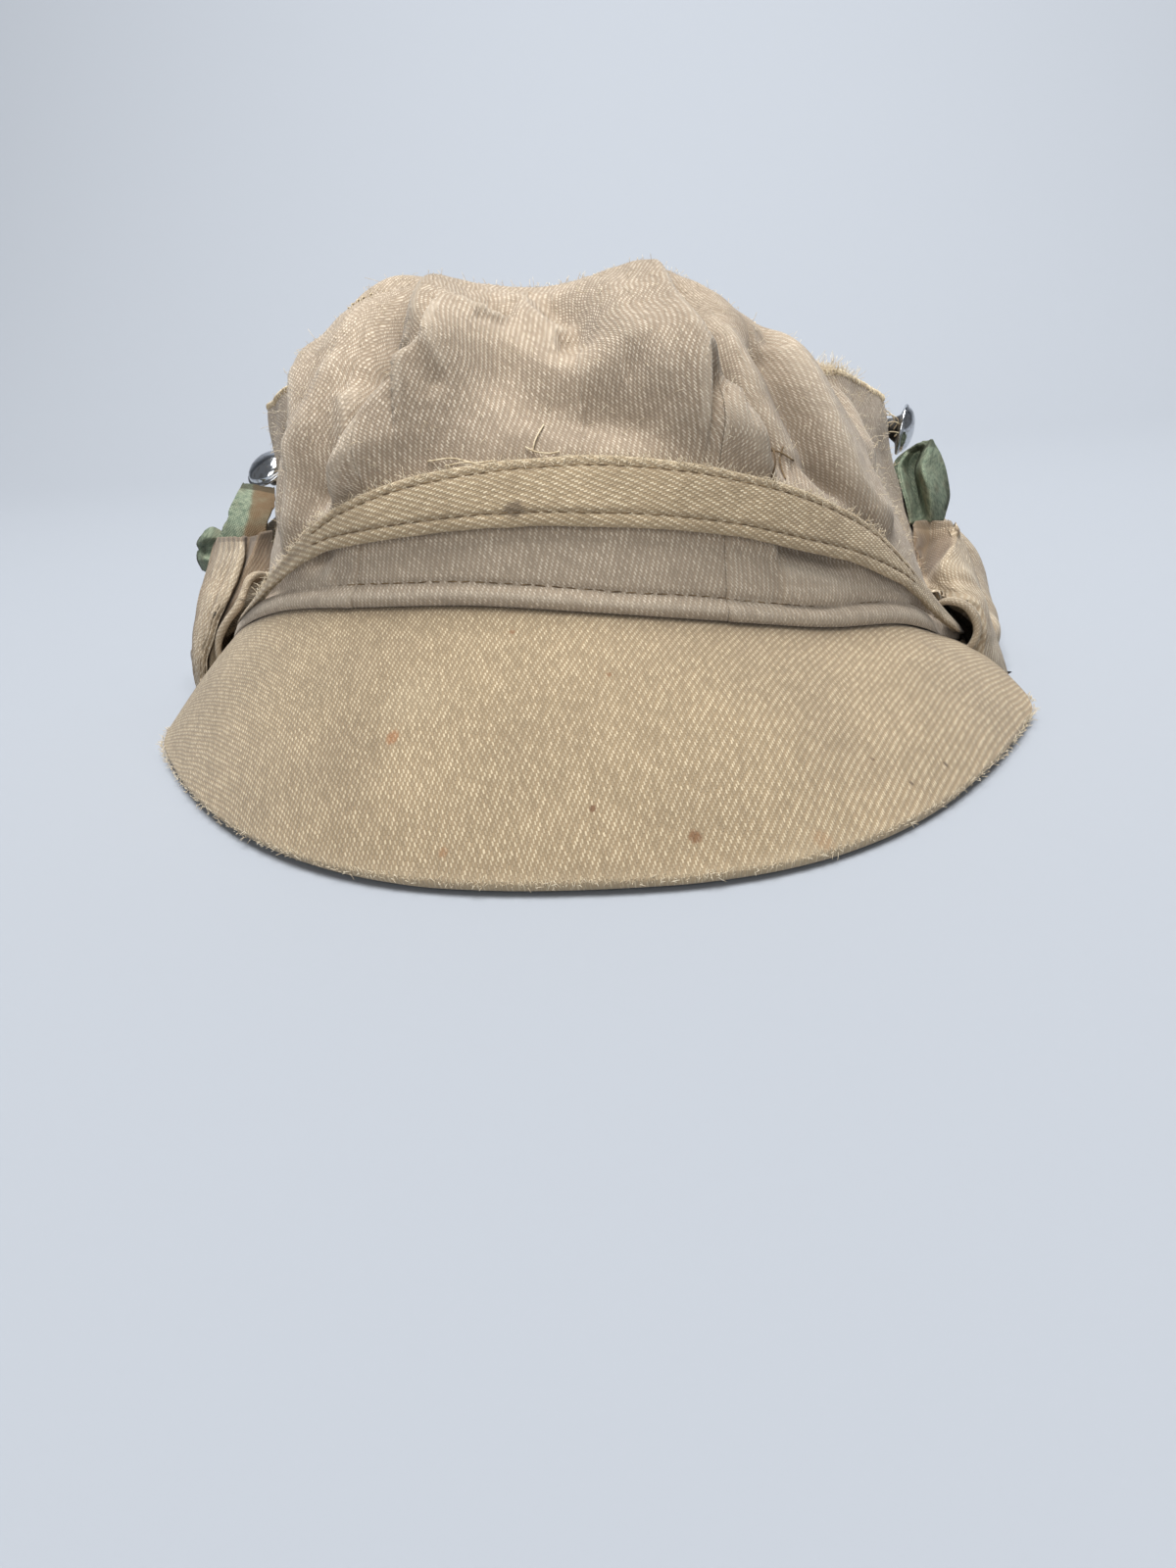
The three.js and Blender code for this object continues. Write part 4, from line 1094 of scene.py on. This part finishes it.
PLEAT_RIGHT = (
    [(89.4, -36, 6.8), (90.7, -37, 9.4), (91.9, -37, 12.4), (92.0, -37, 15.4), (90.8, -37, 18.2),
     (88.7, -36, 20.0), (86.1, -33, 20.3), (83.7, -26, 20.8), (81.6, -20, 22.4), (81.5, -14, 26.5),
     (81.5, -10, 31.1), (82.4, -7, 34.9)],
    [(93.4, -37, 2.6), (93.2, -38, 7.2), (93.7, -38, 11.1), (93.6, -38, 14.6), (93.0, -37, 17.9),
     (91.1, -36, 20.8), (88.1, -33, 21.6), (84.4, -28, 22.3), (83.8, -18, 23.1), (84.4, -12, 26.0),
     (85.7, -9, 30.2), (86.7, -7, 34.7)],
    [(94.5, -36, 1.7), (94.6, -37, 6.3), (94.6, -37, 10.4), (94.5, -37, 14.3), (93.9, -36, 17.8),
     (92.8, -34, 20.7), (90.0, -33, 22.9), (87.0, -31, 24.5), (85.3, -29, 27.0), (85.9, -26, 29.1),
     (88.4, -21, 30.4), (90.3, -15, 32.2), (89.5, -10, 34.8)],
    [(98.4, -33, -0.3), (97.5, -34, 4.4), (96.9, -34, 8.7), (96.5, -33, 12.8), (95.8, -32, 16.5),
     (94.8, -31, 19.9), (93.5, -29, 22.5), (91.8, -28, 25.5), (90.2, -25, 27.7), (90.4, -21, 29.8),
     (91.3, -16, 31.4), (90.4, -10, 34.5)],
    [(103.5, -26, -3.6), (101.9, -27, 1.2), (100.1, -27, 6.2), (98.7, -26, 10.6), (97.8, -24, 14.3),
     (96.9, -22, 17.7), (96.0, -20, 20.9), (95.1, -18, 24.2), (94.5, -15, 27.0), (93.5, -12, 30.1),
     (92.3, -9, 32.3), (90.9, -6, 34.3)],
)
pleat("pleat_right", PLEAT_RIGHT, right_brown_and_shade, 0)

# %% [markdown]
# ## Rolled edges
#
# The rubbed front edge of each pleat is rolled over. The roll is a tube of cloth about 2 mm
# thick. It needs the weave's map too, so its places are the distance round it and the distance
# along it.

# %% Rolls
ROLL_SIDES, ROLL_STEPS, ROLL_LENGTH = 16, 90, 40
ROLL_SOIL, ROLL_RUB = 0.1, 0.5


def tube(path, radius, sides=6):
    """Points and quads of tubes with flat ends: path + radius * (side cos a + other sin a).

    The path holds all the tubes at once, as tubes, steps along them and three coordinates.
    """
    count, steps = path.shape[:2]
    tangent = np.gradient(path, axis=1)
    tangent /= np.linalg.norm(tangent, axis=-1, keepdims=True)
    side = np.cross(tangent, (0.31, 0.52, 0.79))
    side /= np.linalg.norm(side, axis=-1, keepdims=True)
    other = np.cross(tangent, side)
    a = np.arange(sides) / sides * 2 * np.pi
    ring = side[:, :, None] * np.cos(a)[:, None] + other[:, :, None] * np.sin(a)[:, None]
    points = path[:, :, None] + ring * np.broadcast_to(radius, (count, steps))[..., None, None]
    first = np.arange(count)[:, None, None] * steps * sides
    k, j = np.arange(steps - 1)[None, :, None] * sides, np.arange(sides)[None, None, :]
    m = (j + 1) % sides
    walls = np.stack([first + k + j, first + k + m, first + k + sides + m, first + k + sides + j], -1)
    fan = np.arange(1, sides - 2, 2)[:, None] + np.array([-1, 2, 1, 0])
    fan[:, 0] = 0
    ends = np.concatenate([first + fan, first + (steps - 1) * sides + fan[:, ::-1]], 1)
    return points.reshape(-1, 3), np.concatenate([walls.reshape(-1, 4), ends.reshape(-1, 4)])


def roll(name, line, radius, brown):
    """A rolled edge along a path, thinner at both ends, with small dents."""
    path = smooth_path(line, ROLL_STEPS)
    run = np.linspace(0, 1, ROLL_STEPS)
    swell = radius * (0.35 + 0.65 * np.sin(np.pi * run) ** 0.4) * (1 + 0.16 * crumple(path, 3, 75))
    points, faces = tube(path[None], swell[None], ROLL_SIDES)
    girth = np.arange(ROLL_SIDES) * radius * 0.39
    places = np.stack(np.meshgrid(girth, run * ROLL_LENGTH, indexing="xy"), -1).reshape(-1, 2)
    wear = np.tile([ROLL_SOIL, ROLL_RUB, brown], (len(points), 1))
    settle(mesh_piece(name, points, faces, places, wear), FLAP_TWILL, "flap_twill")


ROLL_LEFT = [
    (-91.1, -35, 12.6), (-91.2, -36, 17.0), (-90.2, -36, 20.9), (-87.5, -36, 24.8), (-84.4, -35, 28.3),
    (-83.1, -33, 31.2), (-82.2, -31, 33.6), (-80.8, -28, 34.4), (-78.7, -24, 33.0),
]
ROLL_RIGHT = [
    (83.7, -34, 19.8), (85.6, -37, 21.0), (87.9, -39, 20.9), (90.1, -39, 19.2), (91.5, -39, 16.8),
    (91.9, -39, 13.8), (90.9, -39, 11.1), (89.4, -38, 9.2),
]
roll("roll_left", ROLL_LEFT, 1.0, 0.15)
roll("roll_right", ROLL_RIGHT, 1.05, 0.1)

# %% [markdown]
# ## Cotton tape
#
# A short tape comes off each button and is tied back to the flap. It is woven flat, in a plain
# weave, and faded green, with brown where metal and dirt have marked it. Each layer is a net
# through a few paths, as the pleats are. The shader makes the weave from two sines, one along
# and one across.

# %% Tapes
TAPE_WAVES = (9.0, 7.0)


def ribbon_weave():
    """Plain weave: the product of two sines, one along the tape and one across, as tone and bump."""
    material, tree, shader = new_material("tape_cotton")
    place = node(tree, "UVMap", uv_map="cloth").outputs[0]
    parts = node(tree, "SeparateXYZ", {0: place}).outputs
    waves = [maths(tree, "SINE", maths(tree, "MULTIPLY", *pair)) for pair in zip(parts, TAPE_WAVES)]
    weave = maths(tree, "MULTIPLY", *waves)
    mottle = noise(tree, place, 0.7, 4.0, 0.65)
    colour = blend(tree, ramp(tree, mottle, 0.3, 0.7), rgb(98, 112, 95), rgb(148, 156, 133))
    colour = blend(tree, ramp(tree, weave, -0.6, 0.9, 0.3, 0.0), colour, rgb(58, 66, 52))
    wear = wear_and_shade_channels(tree)
    colour = blend(tree, maths(tree, "MULTIPLY", wear[2], 0.85), colour, rgb(104, 78, 54))
    # The first channel darkens the tape: patchy soiling, and painted shade where it lies further back.
    colour = blend(tree, maths(tree, "MULTIPLY", wear[0], 0.8), colour, rgb(50, 48, 38))
    dress(tree, shader, colour, 0.9, 0.2)
    emboss(tree, shader, weave, 0.0001, 0.8)
    return material


TAPE_COTTON = ribbon_weave()
TAPE_CLOTH = 1.0


def tape(name, grid, brown, replaced=()):
    """A tape's shell, stained by shares across and along, with painted shade where it lies further back."""
    across, run = np.meshgrid(*[np.linspace(0, 1, k) for k in grid.shape[:2]], indexing="ij")
    stain = np.clip(brown(across, run) + 0.35 * crumple(grid, 3, 52), 0, 1)
    # Painted shade where the tape lies further back, and patchy soiling.
    behind = smoothstep(hollows(-grid[..., 1], 8), 0.4, 2.4)
    soil_and_shade = 0.2 * smoothstep(crumple(grid, 4, 53), 0.1, 0.7) + 0.8 * behind
    piece = shell(name, grid, TAPE_CLOTH, flat_places(grid), np.stack([soil_and_shade, 0 * run, stain], -1))
    settle(piece, TAPE_COTTON, "tape_cotton", *replaced)
    cut_cloth(grid)


def brown_aslant(t, run):
    """Brown beyond a line that slants from the tape's middle towards its outer edge."""
    return smoothstep(t, 0.5 - 0.22 * run, 0.62 - 0.22 * run)


BAND = (
    [(-97.4, -8, 39.7), (-95.3, -6, 45.2), (-93.2, -2, 50.1), (-93.1, 6, 53.1)],
    [(-85.4, -12, 36), (-84, -9, 42.5), (-83.4, -3, 47.1), (-86.4, 8, 51.4)],
)
tape("tape_left", net(BAND, 40, 50, 0.4, 50), brown_aslant, ["tape_left"])
BOW = (
    [(-109.4, 5, 29.9), (-109.1, 2, 34), (-107.7, 1, 36.3), (-108.3, 2, 38), (-107.7, 4, 39.7)],
    [(-105.6, 0, 30.4), (-104, -6, 35), (-105.5, 0, 36.9), (-103.5, -5, 39.8), (-103.4, -2, 42.4)],
    [(-103.7, -1, 31.1), (-101.5, -7, 34.8), (-102.9, -3, 37.3), (-100.8, -6, 40.6), (-101, -2, 43.3)],
    [(-102.4, -1, 32.4), (-99.6, -6, 35.6), (-99.7, -4, 37.6), (-98.2, -5, 40.3), (-98.8, -2, 42.1)],
)
tape("bow_left", net(BOW, 40, 60, 0.25, 54), lambda t, run: 0.1 * t)
LEAF = (
    [(81.8, -6, 33.8), (81, -4, 38.9), (80.1, 0, 43.3), (79.9, 4, 46.7), (82.1, 6, 49.5),
     (85, 6, 51.2)],
    [(84.3, -4, 33.4), (84.8, 3, 37.6), (84.3, 7, 42.1), (84.1, 9, 45.3), (85, 9, 48.2),
     (86.4, 6, 51.6)],
    [(86, -8, 34.2), (85.7, -9, 39.9), (84.2, -9, 44.7), (83.7, -7, 47.8), (85.5, -3, 50.5),
     (86.9, 2, 53)],
    [(90.8, 0, 33), (92.4, 2, 38.3), (92, 3, 43.1), (91, 4, 47.4), (89.3, 4, 50.7), (88, 4, 53.2)],
)
tape("tape_right", net(LEAF, 60, 60, 0.35, 57), lambda t, run: 0 * t, ["tape_right"])
LOOP = (
    [(80.4, 3, 36.9), (78.6, 7, 42.8), (78.9, 9, 47), (81.8, 9, 49.9), (86.5, 8, 52.4)],
    [(88.2, 4, 37.8), (89.5, 6, 41.6), (89.8, 7, 45.2), (88.1, 8, 48.5), (87.6, 7, 52.2)],
)
tape("loop_right", net(LOOP, 24, 50, 0.3, 60), lambda t, run: 0 * t)

# %% [markdown]
# ## Metal buttons
#
# Each button is a pressed silver-coloured dome, 13 mm across, with a rolled rim and a small hub
# behind. It was turned from one profile, so here the profile is a row of points and the surface
# is that row swept round an axis: (radius * cos a, radius * sin a, height), then tipped to face
# the right way.

# %% Buttons
def metal():
    """Polished metal, a little scratched and dulled."""
    material, tree, shader = new_material("button_metal")
    dull = noise(tree, node(tree, "TexCoord").outputs["Object"], 900.0, 4.0)
    tarnish = wear_and_shade_channels(tree)[0]
    rough = ramp(tree, dull, 0.3, 0.8, 0.06, 0.26)
    rough = maths(tree, "ADD", rough, maths(tree, "MULTIPLY", tarnish, 0.4))
    colour = blend(tree, ramp(tree, dull, 0.45, 0.75), rgb(196, 199, 203), rgb(150, 149, 146))
    colour = blend(tree, maths(tree, "MULTIPLY", tarnish, 0.9), colour, rgb(66, 62, 58))
    tree.links.new(rough, shader.inputs["Roughness"])
    tree.links.new(colour, shader.inputs["Base Color"])
    shader.inputs["Metallic"].default_value = 1.0
    return material


BUTTON_METAL = metal()


def basis(direction):
    """Three unit vectors at right angles, the last one along the direction."""
    w = np.array(direction, float) / np.linalg.norm(direction)
    u = np.cross(w, (0, 0, 1) if abs(w[2]) < 0.9 else (0, 1, 0))
    u /= np.linalg.norm(u)
    return np.stack([u, np.cross(w, u), w])


def lathe(profile, sides):
    """Rows of points (radius cos a, radius sin a, height) and the quads between them, wrapped round."""
    profile = np.array(profile)
    a = np.arange(sides) / sides * 2 * np.pi
    radius, height = profile[:, :1], profile[:, 1:]
    points = np.stack([radius * np.cos(a), radius * np.sin(a), height + 0 * a], -1).reshape(-1, 3)
    i, j = np.meshgrid(np.arange(len(profile) - 1), np.arange(sides), indexing="ij")
    k = (j + 1) % sides
    faces = np.stack([i * sides + j, i * sides + k, (i + 1) * sides + k, (i + 1) * sides + j], -1)
    return points, faces.reshape(-1, 4)


def button(name, centre, facing):
    """The disc's profile: hub, flat back, rolled rim, a shallow step and the dome."""
    dome = np.linspace(0, np.pi / 2, 14)[1:]
    rim = np.radians(np.linspace(-120, 60, 9))
    profile = [(0.01, -4.6), (1.7, -4.6), (2.1, -4.3), (2.6, -2.6), (3.6, -1.0), (5.4, -0.5)]
    profile += list(np.stack([5.95 + 0.55 * np.cos(rim), 0.05 + 0.5 * np.sin(rim)], -1))
    profile += [(5.9, 0.55)]
    profile += list(np.stack([5.75 * np.cos(dome), 0.55 + 2.65 * np.sin(dome)], -1))
    profile[-1] = (0.01, 3.2)
    points, faces = lathe(profile, 72)
    tarnish = smoothstep(-points[:, 2], 0.2, 0.9) + 0.6 * hump(points[:, 2], 0.55, 0.12)
    wear = np.stack([tarnish, 0 * tarnish, 0 * tarnish], -1)
    piece = mesh_piece(name, points @ basis(facing) + np.array(centre), faces, None, np.clip(wear, 0, 1))
    settle(piece, BUTTON_METAL, "button_metal", name)


LEFT_BUTTON, LEFT_FACING = np.array([-89.0, 14, 55.3]), np.array([-0.3, -0.55, 0.78])
RIGHT_BUTTON, RIGHT_FACING = np.array([81.6, 14, 54.7]), np.array([0.96, -0.2, -0.2])
button("button_left", LEFT_BUTTON, LEFT_FACING)
button("button_right", RIGHT_BUTTON, RIGHT_FACING)

# %% [markdown]
# ## Threads
#
# All the sewing is made from one kind of part: a short, thin, round tube along a line of points.
# A stitch is a small arc whose two ends dip into the cloth, and a loose thread is one long line.
# Thousands of tubes are made at once as one array and joined in one mesh.

# %% Tubes and stitches
def tubes(name, paths, radius, material, slot, *nodes):
    """Many tubes of the same number of points, joined in one piece."""
    return settle(mesh_piece(name, *tube(paths, radius)), material, slot, *nodes)


def thread(name, light, dark):
    """Cotton thread: two tones along it and no shine."""
    material, tree, shader = new_material(name)
    tone = noise(tree, node(tree, "TexCoord").outputs["Object"], 700.0, 2.0)
    dress(tree, shader, blend(tree, ramp(tree, tone, 0.35, 0.65), light, dark), 0.9, 0.2)
    return material


def line_on(surface, u, v, du=0.4, dv=0.01):
    """A line of a surface and its normals, the cross product of small steps both ways."""
    across = surface(u + du, v) - surface(u - du, v)
    up = surface(u, v + dv) - surface(u, v - dv)
    normal = np.cross(across, up)
    return surface(u, v), normal / np.linalg.norm(normal, axis=-1, keepdims=True)


def sewn(line, normal, pitch, length, rise, seed, slant=0.0, sink=0.5):
    """Stitch arcs along a line: centre + direction * length * t + normal * lift, t from -1/2 to 1/2.

    The lift is rise * (1 - 4 t^2) - sink * 4 t^2, so both ends dip into the cloth.
    """
    rng = np.random.default_rng(seed)
    reach = reach_along(line)
    at = np.arange(pitch / 2, reach[-1], pitch)
    at = at + rng.uniform(-0.12, 0.12, len(at)) * pitch
    centre, up = sampled(line, reach, at), sampled(normal, reach, at)
    ahead = sampled(np.gradient(line, reach, axis=0), reach, at)
    turn = np.radians(slant + rng.uniform(-7, 7, len(at)))[:, None]
    ahead = ahead * np.cos(turn) + np.cross(up, ahead) * np.sin(turn)
    t = np.linspace(-0.5, 0.5, 5)
    size = length * rng.uniform(0.85, 1.1, len(at))[:, None, None]
    offset = ahead[:, None] * t[:, None] * size
    return centre[:, None] + offset + up[:, None] * (rise * (1 - 4 * t**2) - sink * 4 * t**2)[:, None]


SEWING = thread("sewing_thread", rgb(122, 102, 76), rgb(88, 72, 54))
PALE_THREAD = thread("pale_thread", rgb(206, 192, 164), rgb(170, 152, 124))

# %% [markdown]
# ## Topstitching
#
# Rows of stitches run near both edges of the strap and along the welt. The top seam is sewn over
# by hand behind and at both sides: those stitches cross the edge instead of following it, so they
# are a piece of their own.

# %% Stitch rows
def stitches():
    """Every row of stitches as arcs, joined."""
    rows = []
    turn = np.linspace(-70, 74, 600)
    width = strap_width(turn)
    keep = width > 6.5
    for share in (1 - TOP_ROW / width, BOTTOM_ROW / width):
        line, normal = line_on(strap_point, turn, share)
        rows.append(sewn(line[keep], normal[keep], 2.8, 2.6, 0.02, len(rows) + 60, sink=0.2))
    turn = np.linspace(-72, 72, 700)
    edge = along(RIM, "height", turn) + welt_edge(turn) + 0.3
    line, normal = line_on(crown, turn, share_at(turn, edge))
    rows.append(sewn(line, normal, 2.9, 2.7, 0.04, 62, sink=0.2))
    return np.concatenate(rows)


def whipping():
    """Hand stitches over the top seam, nearly across it, behind and at both sides."""
    rows = []
    for turn in (np.linspace(-179, -36, 1200), np.linspace(44, 179, 1200)):
        line, normal = line_on(crown, turn, 1 + 0 * turn)
        rows.append(sewn(line, normal, 1.5, 1.8, 0.35, 80, slant=72, sink=0.4))
    return np.concatenate(rows)


tubes("stitching", stitches(), 0.17, SEWING, "sewing_thread")
tubes("whipping", whipping(), 0.24, PALE_THREAD, "sewing_thread")

# %% [markdown]
# ## Button shanks
#
# A button on a shank stands off the cloth on a few turns of thread. The turns are one line that
# winds round a straight core: a point along the core plus a small circle.

# %% Shanks
SHANK_START, SHANK_WINDING, SHANK_TURNS = 4.5, 1.05, 44 / (2 * np.pi)
SHANK_CORE, SHANK_THREAD = 0.95, 0.32


def shank(name, centre, facing, angle, height):
    """A core from the button's back to the wall, and a thread wound on it 7 times."""
    facing = facing / np.linalg.norm(facing)
    end = wall_point(np.array(angle, float), np.array(height, float))
    start = centre - facing * SHANK_START
    way = end - start
    u, v = basis(way)[:2]
    t = np.linspace(0, 1, 120)[:, None]
    core = start + way * t
    a = 2 * np.pi * SHANK_TURNS * t
    wound = core + SHANK_WINDING * (u * np.cos(a) + v * np.sin(a))
    radius = np.array([[SHANK_CORE], [SHANK_THREAD]])
    tubes(name, np.stack([core, wound]), radius, PALE_THREAD, "sewing_thread", name)


shank("shank_left", LEFT_BUTTON, LEFT_FACING, -102, 52)
shank("shank_right", RIGHT_BUTTON, RIGHT_FACING, 102, 56)

# %% [markdown]
# ## Loose threads
#
# A few ends of thread have worked out of the cloth: a brown curl in front of the right fold, a
# pale end above the strap, and pale loops round the right button's shank. Each is one line of
# points. Those on the crown are given by angle, share and height above the cloth.

# %% Loose threads
def on_crown(points):
    """Rows of angle, share and height, as places above the crown."""
    angle, share, height = np.array(points, float).T
    place, normal = line_on(crown, angle, share)
    return place + normal * height[:, None]


CURLS = (
    [(28, 0.31, 0.1), (28.1, 0.35, 0.7), (28.8, 0.385, 1.2), (30.2, 0.402, 1.4), (32, 0.405, 1.0),
     (34, 0.395, 0.2)],
    [(30.8, 0.33, 0.1), (31.2, 0.36, 0.8), (31.9, 0.39, 1.0), (32.4, 0.42, 0.5)],
)
PALE_ENDS = (
    [(1.4, 0.46, 0.3), (1.0, 0.43, 0.5), (0.5, 0.40, 0.6), (0.2, 0.375, 0.4)],
    [(-0.6, 0.385, 0.5), (0.6, 0.372, 0.7), (2.2, 0.368, 0.6), (3.2, 0.374, 0.2)],
    [(-12, 0.345, 0.3), (-9, 0.352, 0.8), (-6.5, 0.344, 0.6), (-4, 0.352, 0.3)],
    [(-10, 0.335, 0.3), (-7.4, 0.343, 0.9), (-5, 0.338, 0.6), (-2.6, 0.35, 0.2)],
)
LOOPS = (
    [(74.5, 8, 55.9), (75.8, 8, 58.6), (78.2, 9, 59.0), (80.2, 10, 57.3), (79.2, 11, 55.2)],
    [(75, 8, 54.7), (76.6, 7, 57), (79.2, 8, 57.3), (81, 10, 55.4), (79.2, 10, 53.4)],
    [(74, 9, 57.2), (75.6, 9, 60), (77.6, 10, 59.7), (79.2, 10, 57.6), (78.2, 11, 56)],
    [(75.2, 7, 53.5), (77.4, 7, 55), (80, 8, 54.5), (80.6, 9, 53)],
)
curls = [smooth_path(on_crown(c), 40) for c in CURLS]
tubes("thread_curls", np.stack(curls), 0.17, SEWING, "sewing_thread")
ends = [smooth_path(on_crown(c), 40) for c in PALE_ENDS] + [smooth_path(c, 40) for c in LOOPS]
tubes("thread_ends", np.stack(ends), 0.16, PALE_THREAD, "sewing_thread")

# %% [markdown]
# ## Fuzz
#
# Brushed cotton has a halo of short fibres, which shows most on an outline and where the seam has
# frayed. Each fibre is a thin tube of four points that starts in the cloth, leans at random off
# the normal and curls. All the starting places are drawn at once.

# %% Fibres
def fibres(name, surface, low, high, count, length, seed, slot, step=(0.4, 0.01)):
    """start + length * t * (normal + random lean) + curl * t^2, from random places of a surface."""
    rng = np.random.default_rng(seed)
    u, v = rng.uniform(low[0], high[0], count), rng.uniform(low[1], high[1], count)
    start, normal = line_on(surface, u, v, *step)
    lean = normal + rng.normal(0, 0.75, (count, 3))
    lean /= np.linalg.norm(lean, axis=-1, keepdims=True)
    curl = rng.normal(0, 0.5, (count, 3))
    t = np.linspace(0, 1, 4)[:, None]
    reach = length * rng.uniform(0.5, 1.3, count)[:, None, None]
    path = start[:, None] + (lean[:, None] * t + curl[:, None] * t**2) * reach
    settle(mesh_piece(name, *tube(path, 0.045, 4)), FIBRE, slot)


FIBRE = thread("fibre", rgb(220, 208, 184), rgb(192, 174, 146))
fibres("crown_fuzz", crown, (-115, 0.2), (115, 1.3), 2600, 1.0, 90, "crown_twill")
fibres("seam_fray", crown, (50, 0.98), (78, 1.05), 420, 2.0, 91, "crown_twill")
fibres("peak_fuzz", peak_point, (-0.98, 0.0), (0.98, 0.02), 1000, 0.65, 92, "peak_twill", (0.004, 0.01))
fibres("strap_fuzz", strap_point, (-46, 0.9), (46, 1.0), 700, 0.9, 93, "strap_twill")

# %% [markdown]
# ## Floor, backdrop and light
#
# A pale floor that curves up into a wall hides the corner between them. A soft lamp overhead
# gives the gentle shadows of a cloudy day, a larger and lower one in front lights the band and
# the peak, a third lights the wall, and a dim pale world fills the rest.

# %% Studio
FLOOR_FRONT, BEND_START, BEND_RADIUS, WALL_TOP, HALF_SPAN = -3000, 500, 700, 4000, 4000.0


def backdrop():
    """A floor that turns up into a wall: a straight line, a quarter circle, a straight line."""
    bend = np.linspace(0, np.pi / 2, 24)
    y = np.concatenate([[FLOOR_FRONT], BEND_START + BEND_RADIUS * np.sin(bend), [BEND_START + BEND_RADIUS]])
    z = np.concatenate([[0], BEND_RADIUS - BEND_RADIUS * np.cos(bend), [WALL_TOP]])
    x = np.array([-HALF_SPAN, HALF_SPAN])
    grid = np.stack(np.broadcast_arrays(x[:, None], y[None], z[None]), -1)
    faces = cells(np.arange(2 * len(y)).reshape(2, -1))
    piece = mesh_piece("backdrop", grid.reshape(-1, 3) - OPENING_CENTRE, faces)
    paper, shader = new_material("backdrop_paper")[::2]
    shader.inputs["Base Color"].default_value = rgb(150, 154, 160)
    shader.inputs["Roughness"].default_value = 0.9
    piece.data.materials.append(paper)


def lamp(name, place, target, size, power, colour):
    """A square lamp that points at a target; metres and watts."""
    data = bpy.data.lights.new(name, "AREA")
    data.size, data.energy, data.color = size, power, colour
    made = bpy.data.objects.new(name, data)
    bpy.context.scene.collection.objects.link(made)
    axes = basis(np.array(place) - np.array(target))
    matrix = np.eye(4)
    matrix[:3, :3] = axes.T
    matrix[:3, 3] = place
    made.matrix_world = matrix.T.tolist()


backdrop()
lamp("key", (0.08, -0.55, 1.35), (0, 0, 0.03), 0.4, 9.4, (0.975, 0.985, 1))
lamp("front", (0.05, -1.5, 0.6), (0, 0, 0.05), 0.9, 10.3, (0.985, 0.99, 1))
lamp("wall", (0, 0.1, 1.7), (0, 1.1, 0.4), 1.0, 51, (0.98, 0.99, 1))
world = bpy.data.worlds.new("studio")
world.use_nodes = True
world.node_tree.nodes["Background"].inputs["Color"].default_value = rgb(226, 230, 236)
world.node_tree.nodes["Background"].inputs["Strength"].default_value = 0.22
bpy.context.scene.world = world
bpy.context.scene.view_settings.view_transform = "Standard"
print("lamps, watts:", {made.name: round(made.energy, 1) for made in bpy.data.lights})

# %% [markdown]
# ## Camera
#
# The camera stands where the picture was taken from, worked out from the cap's known sizes: a
# little to the right of the middle, above the peak, turned by three angles.

# %% Camera
def camera(place, yaw, pitch, roll, lens):
    """Right, up and forward from the three angles: turn, tip down, then roll."""
    yaw, pitch, roll = np.radians([yaw, pitch, roll])
    level = np.array([-np.sin(yaw), np.cos(yaw), 0])
    right = np.array([np.cos(yaw), np.sin(yaw), 0])
    forward = level * np.cos(pitch) - UP * np.sin(pitch)
    up = level * np.sin(pitch) + UP * np.cos(pitch)
    right, up = right * np.cos(roll) + up * np.sin(roll), up * np.cos(roll) - right * np.sin(roll)
    data = bpy.data.cameras.new("camera")
    data.lens, data.sensor_width = lens, 36
    data.clip_start = 0.01
    made = bpy.data.objects.new("camera", data)
    bpy.context.scene.collection.objects.link(made)
    matrix = np.eye(4)
    matrix[:3, :3] = np.stack([right, up, -forward], -1)
    matrix[:3, 3] = (np.array(place) + OPENING_CENTRE) / 1000
    made.matrix_world = matrix.T.tolist()
    bpy.context.scene.camera = made


EYE = (33.0, -322.0, 89.6)
camera(EYE, yaw=6.87, pitch=21.1, roll=-4.5, lens=28.125)
print("camera is", np.linalg.norm(EYE).round(), "mm from the middle of the opening")
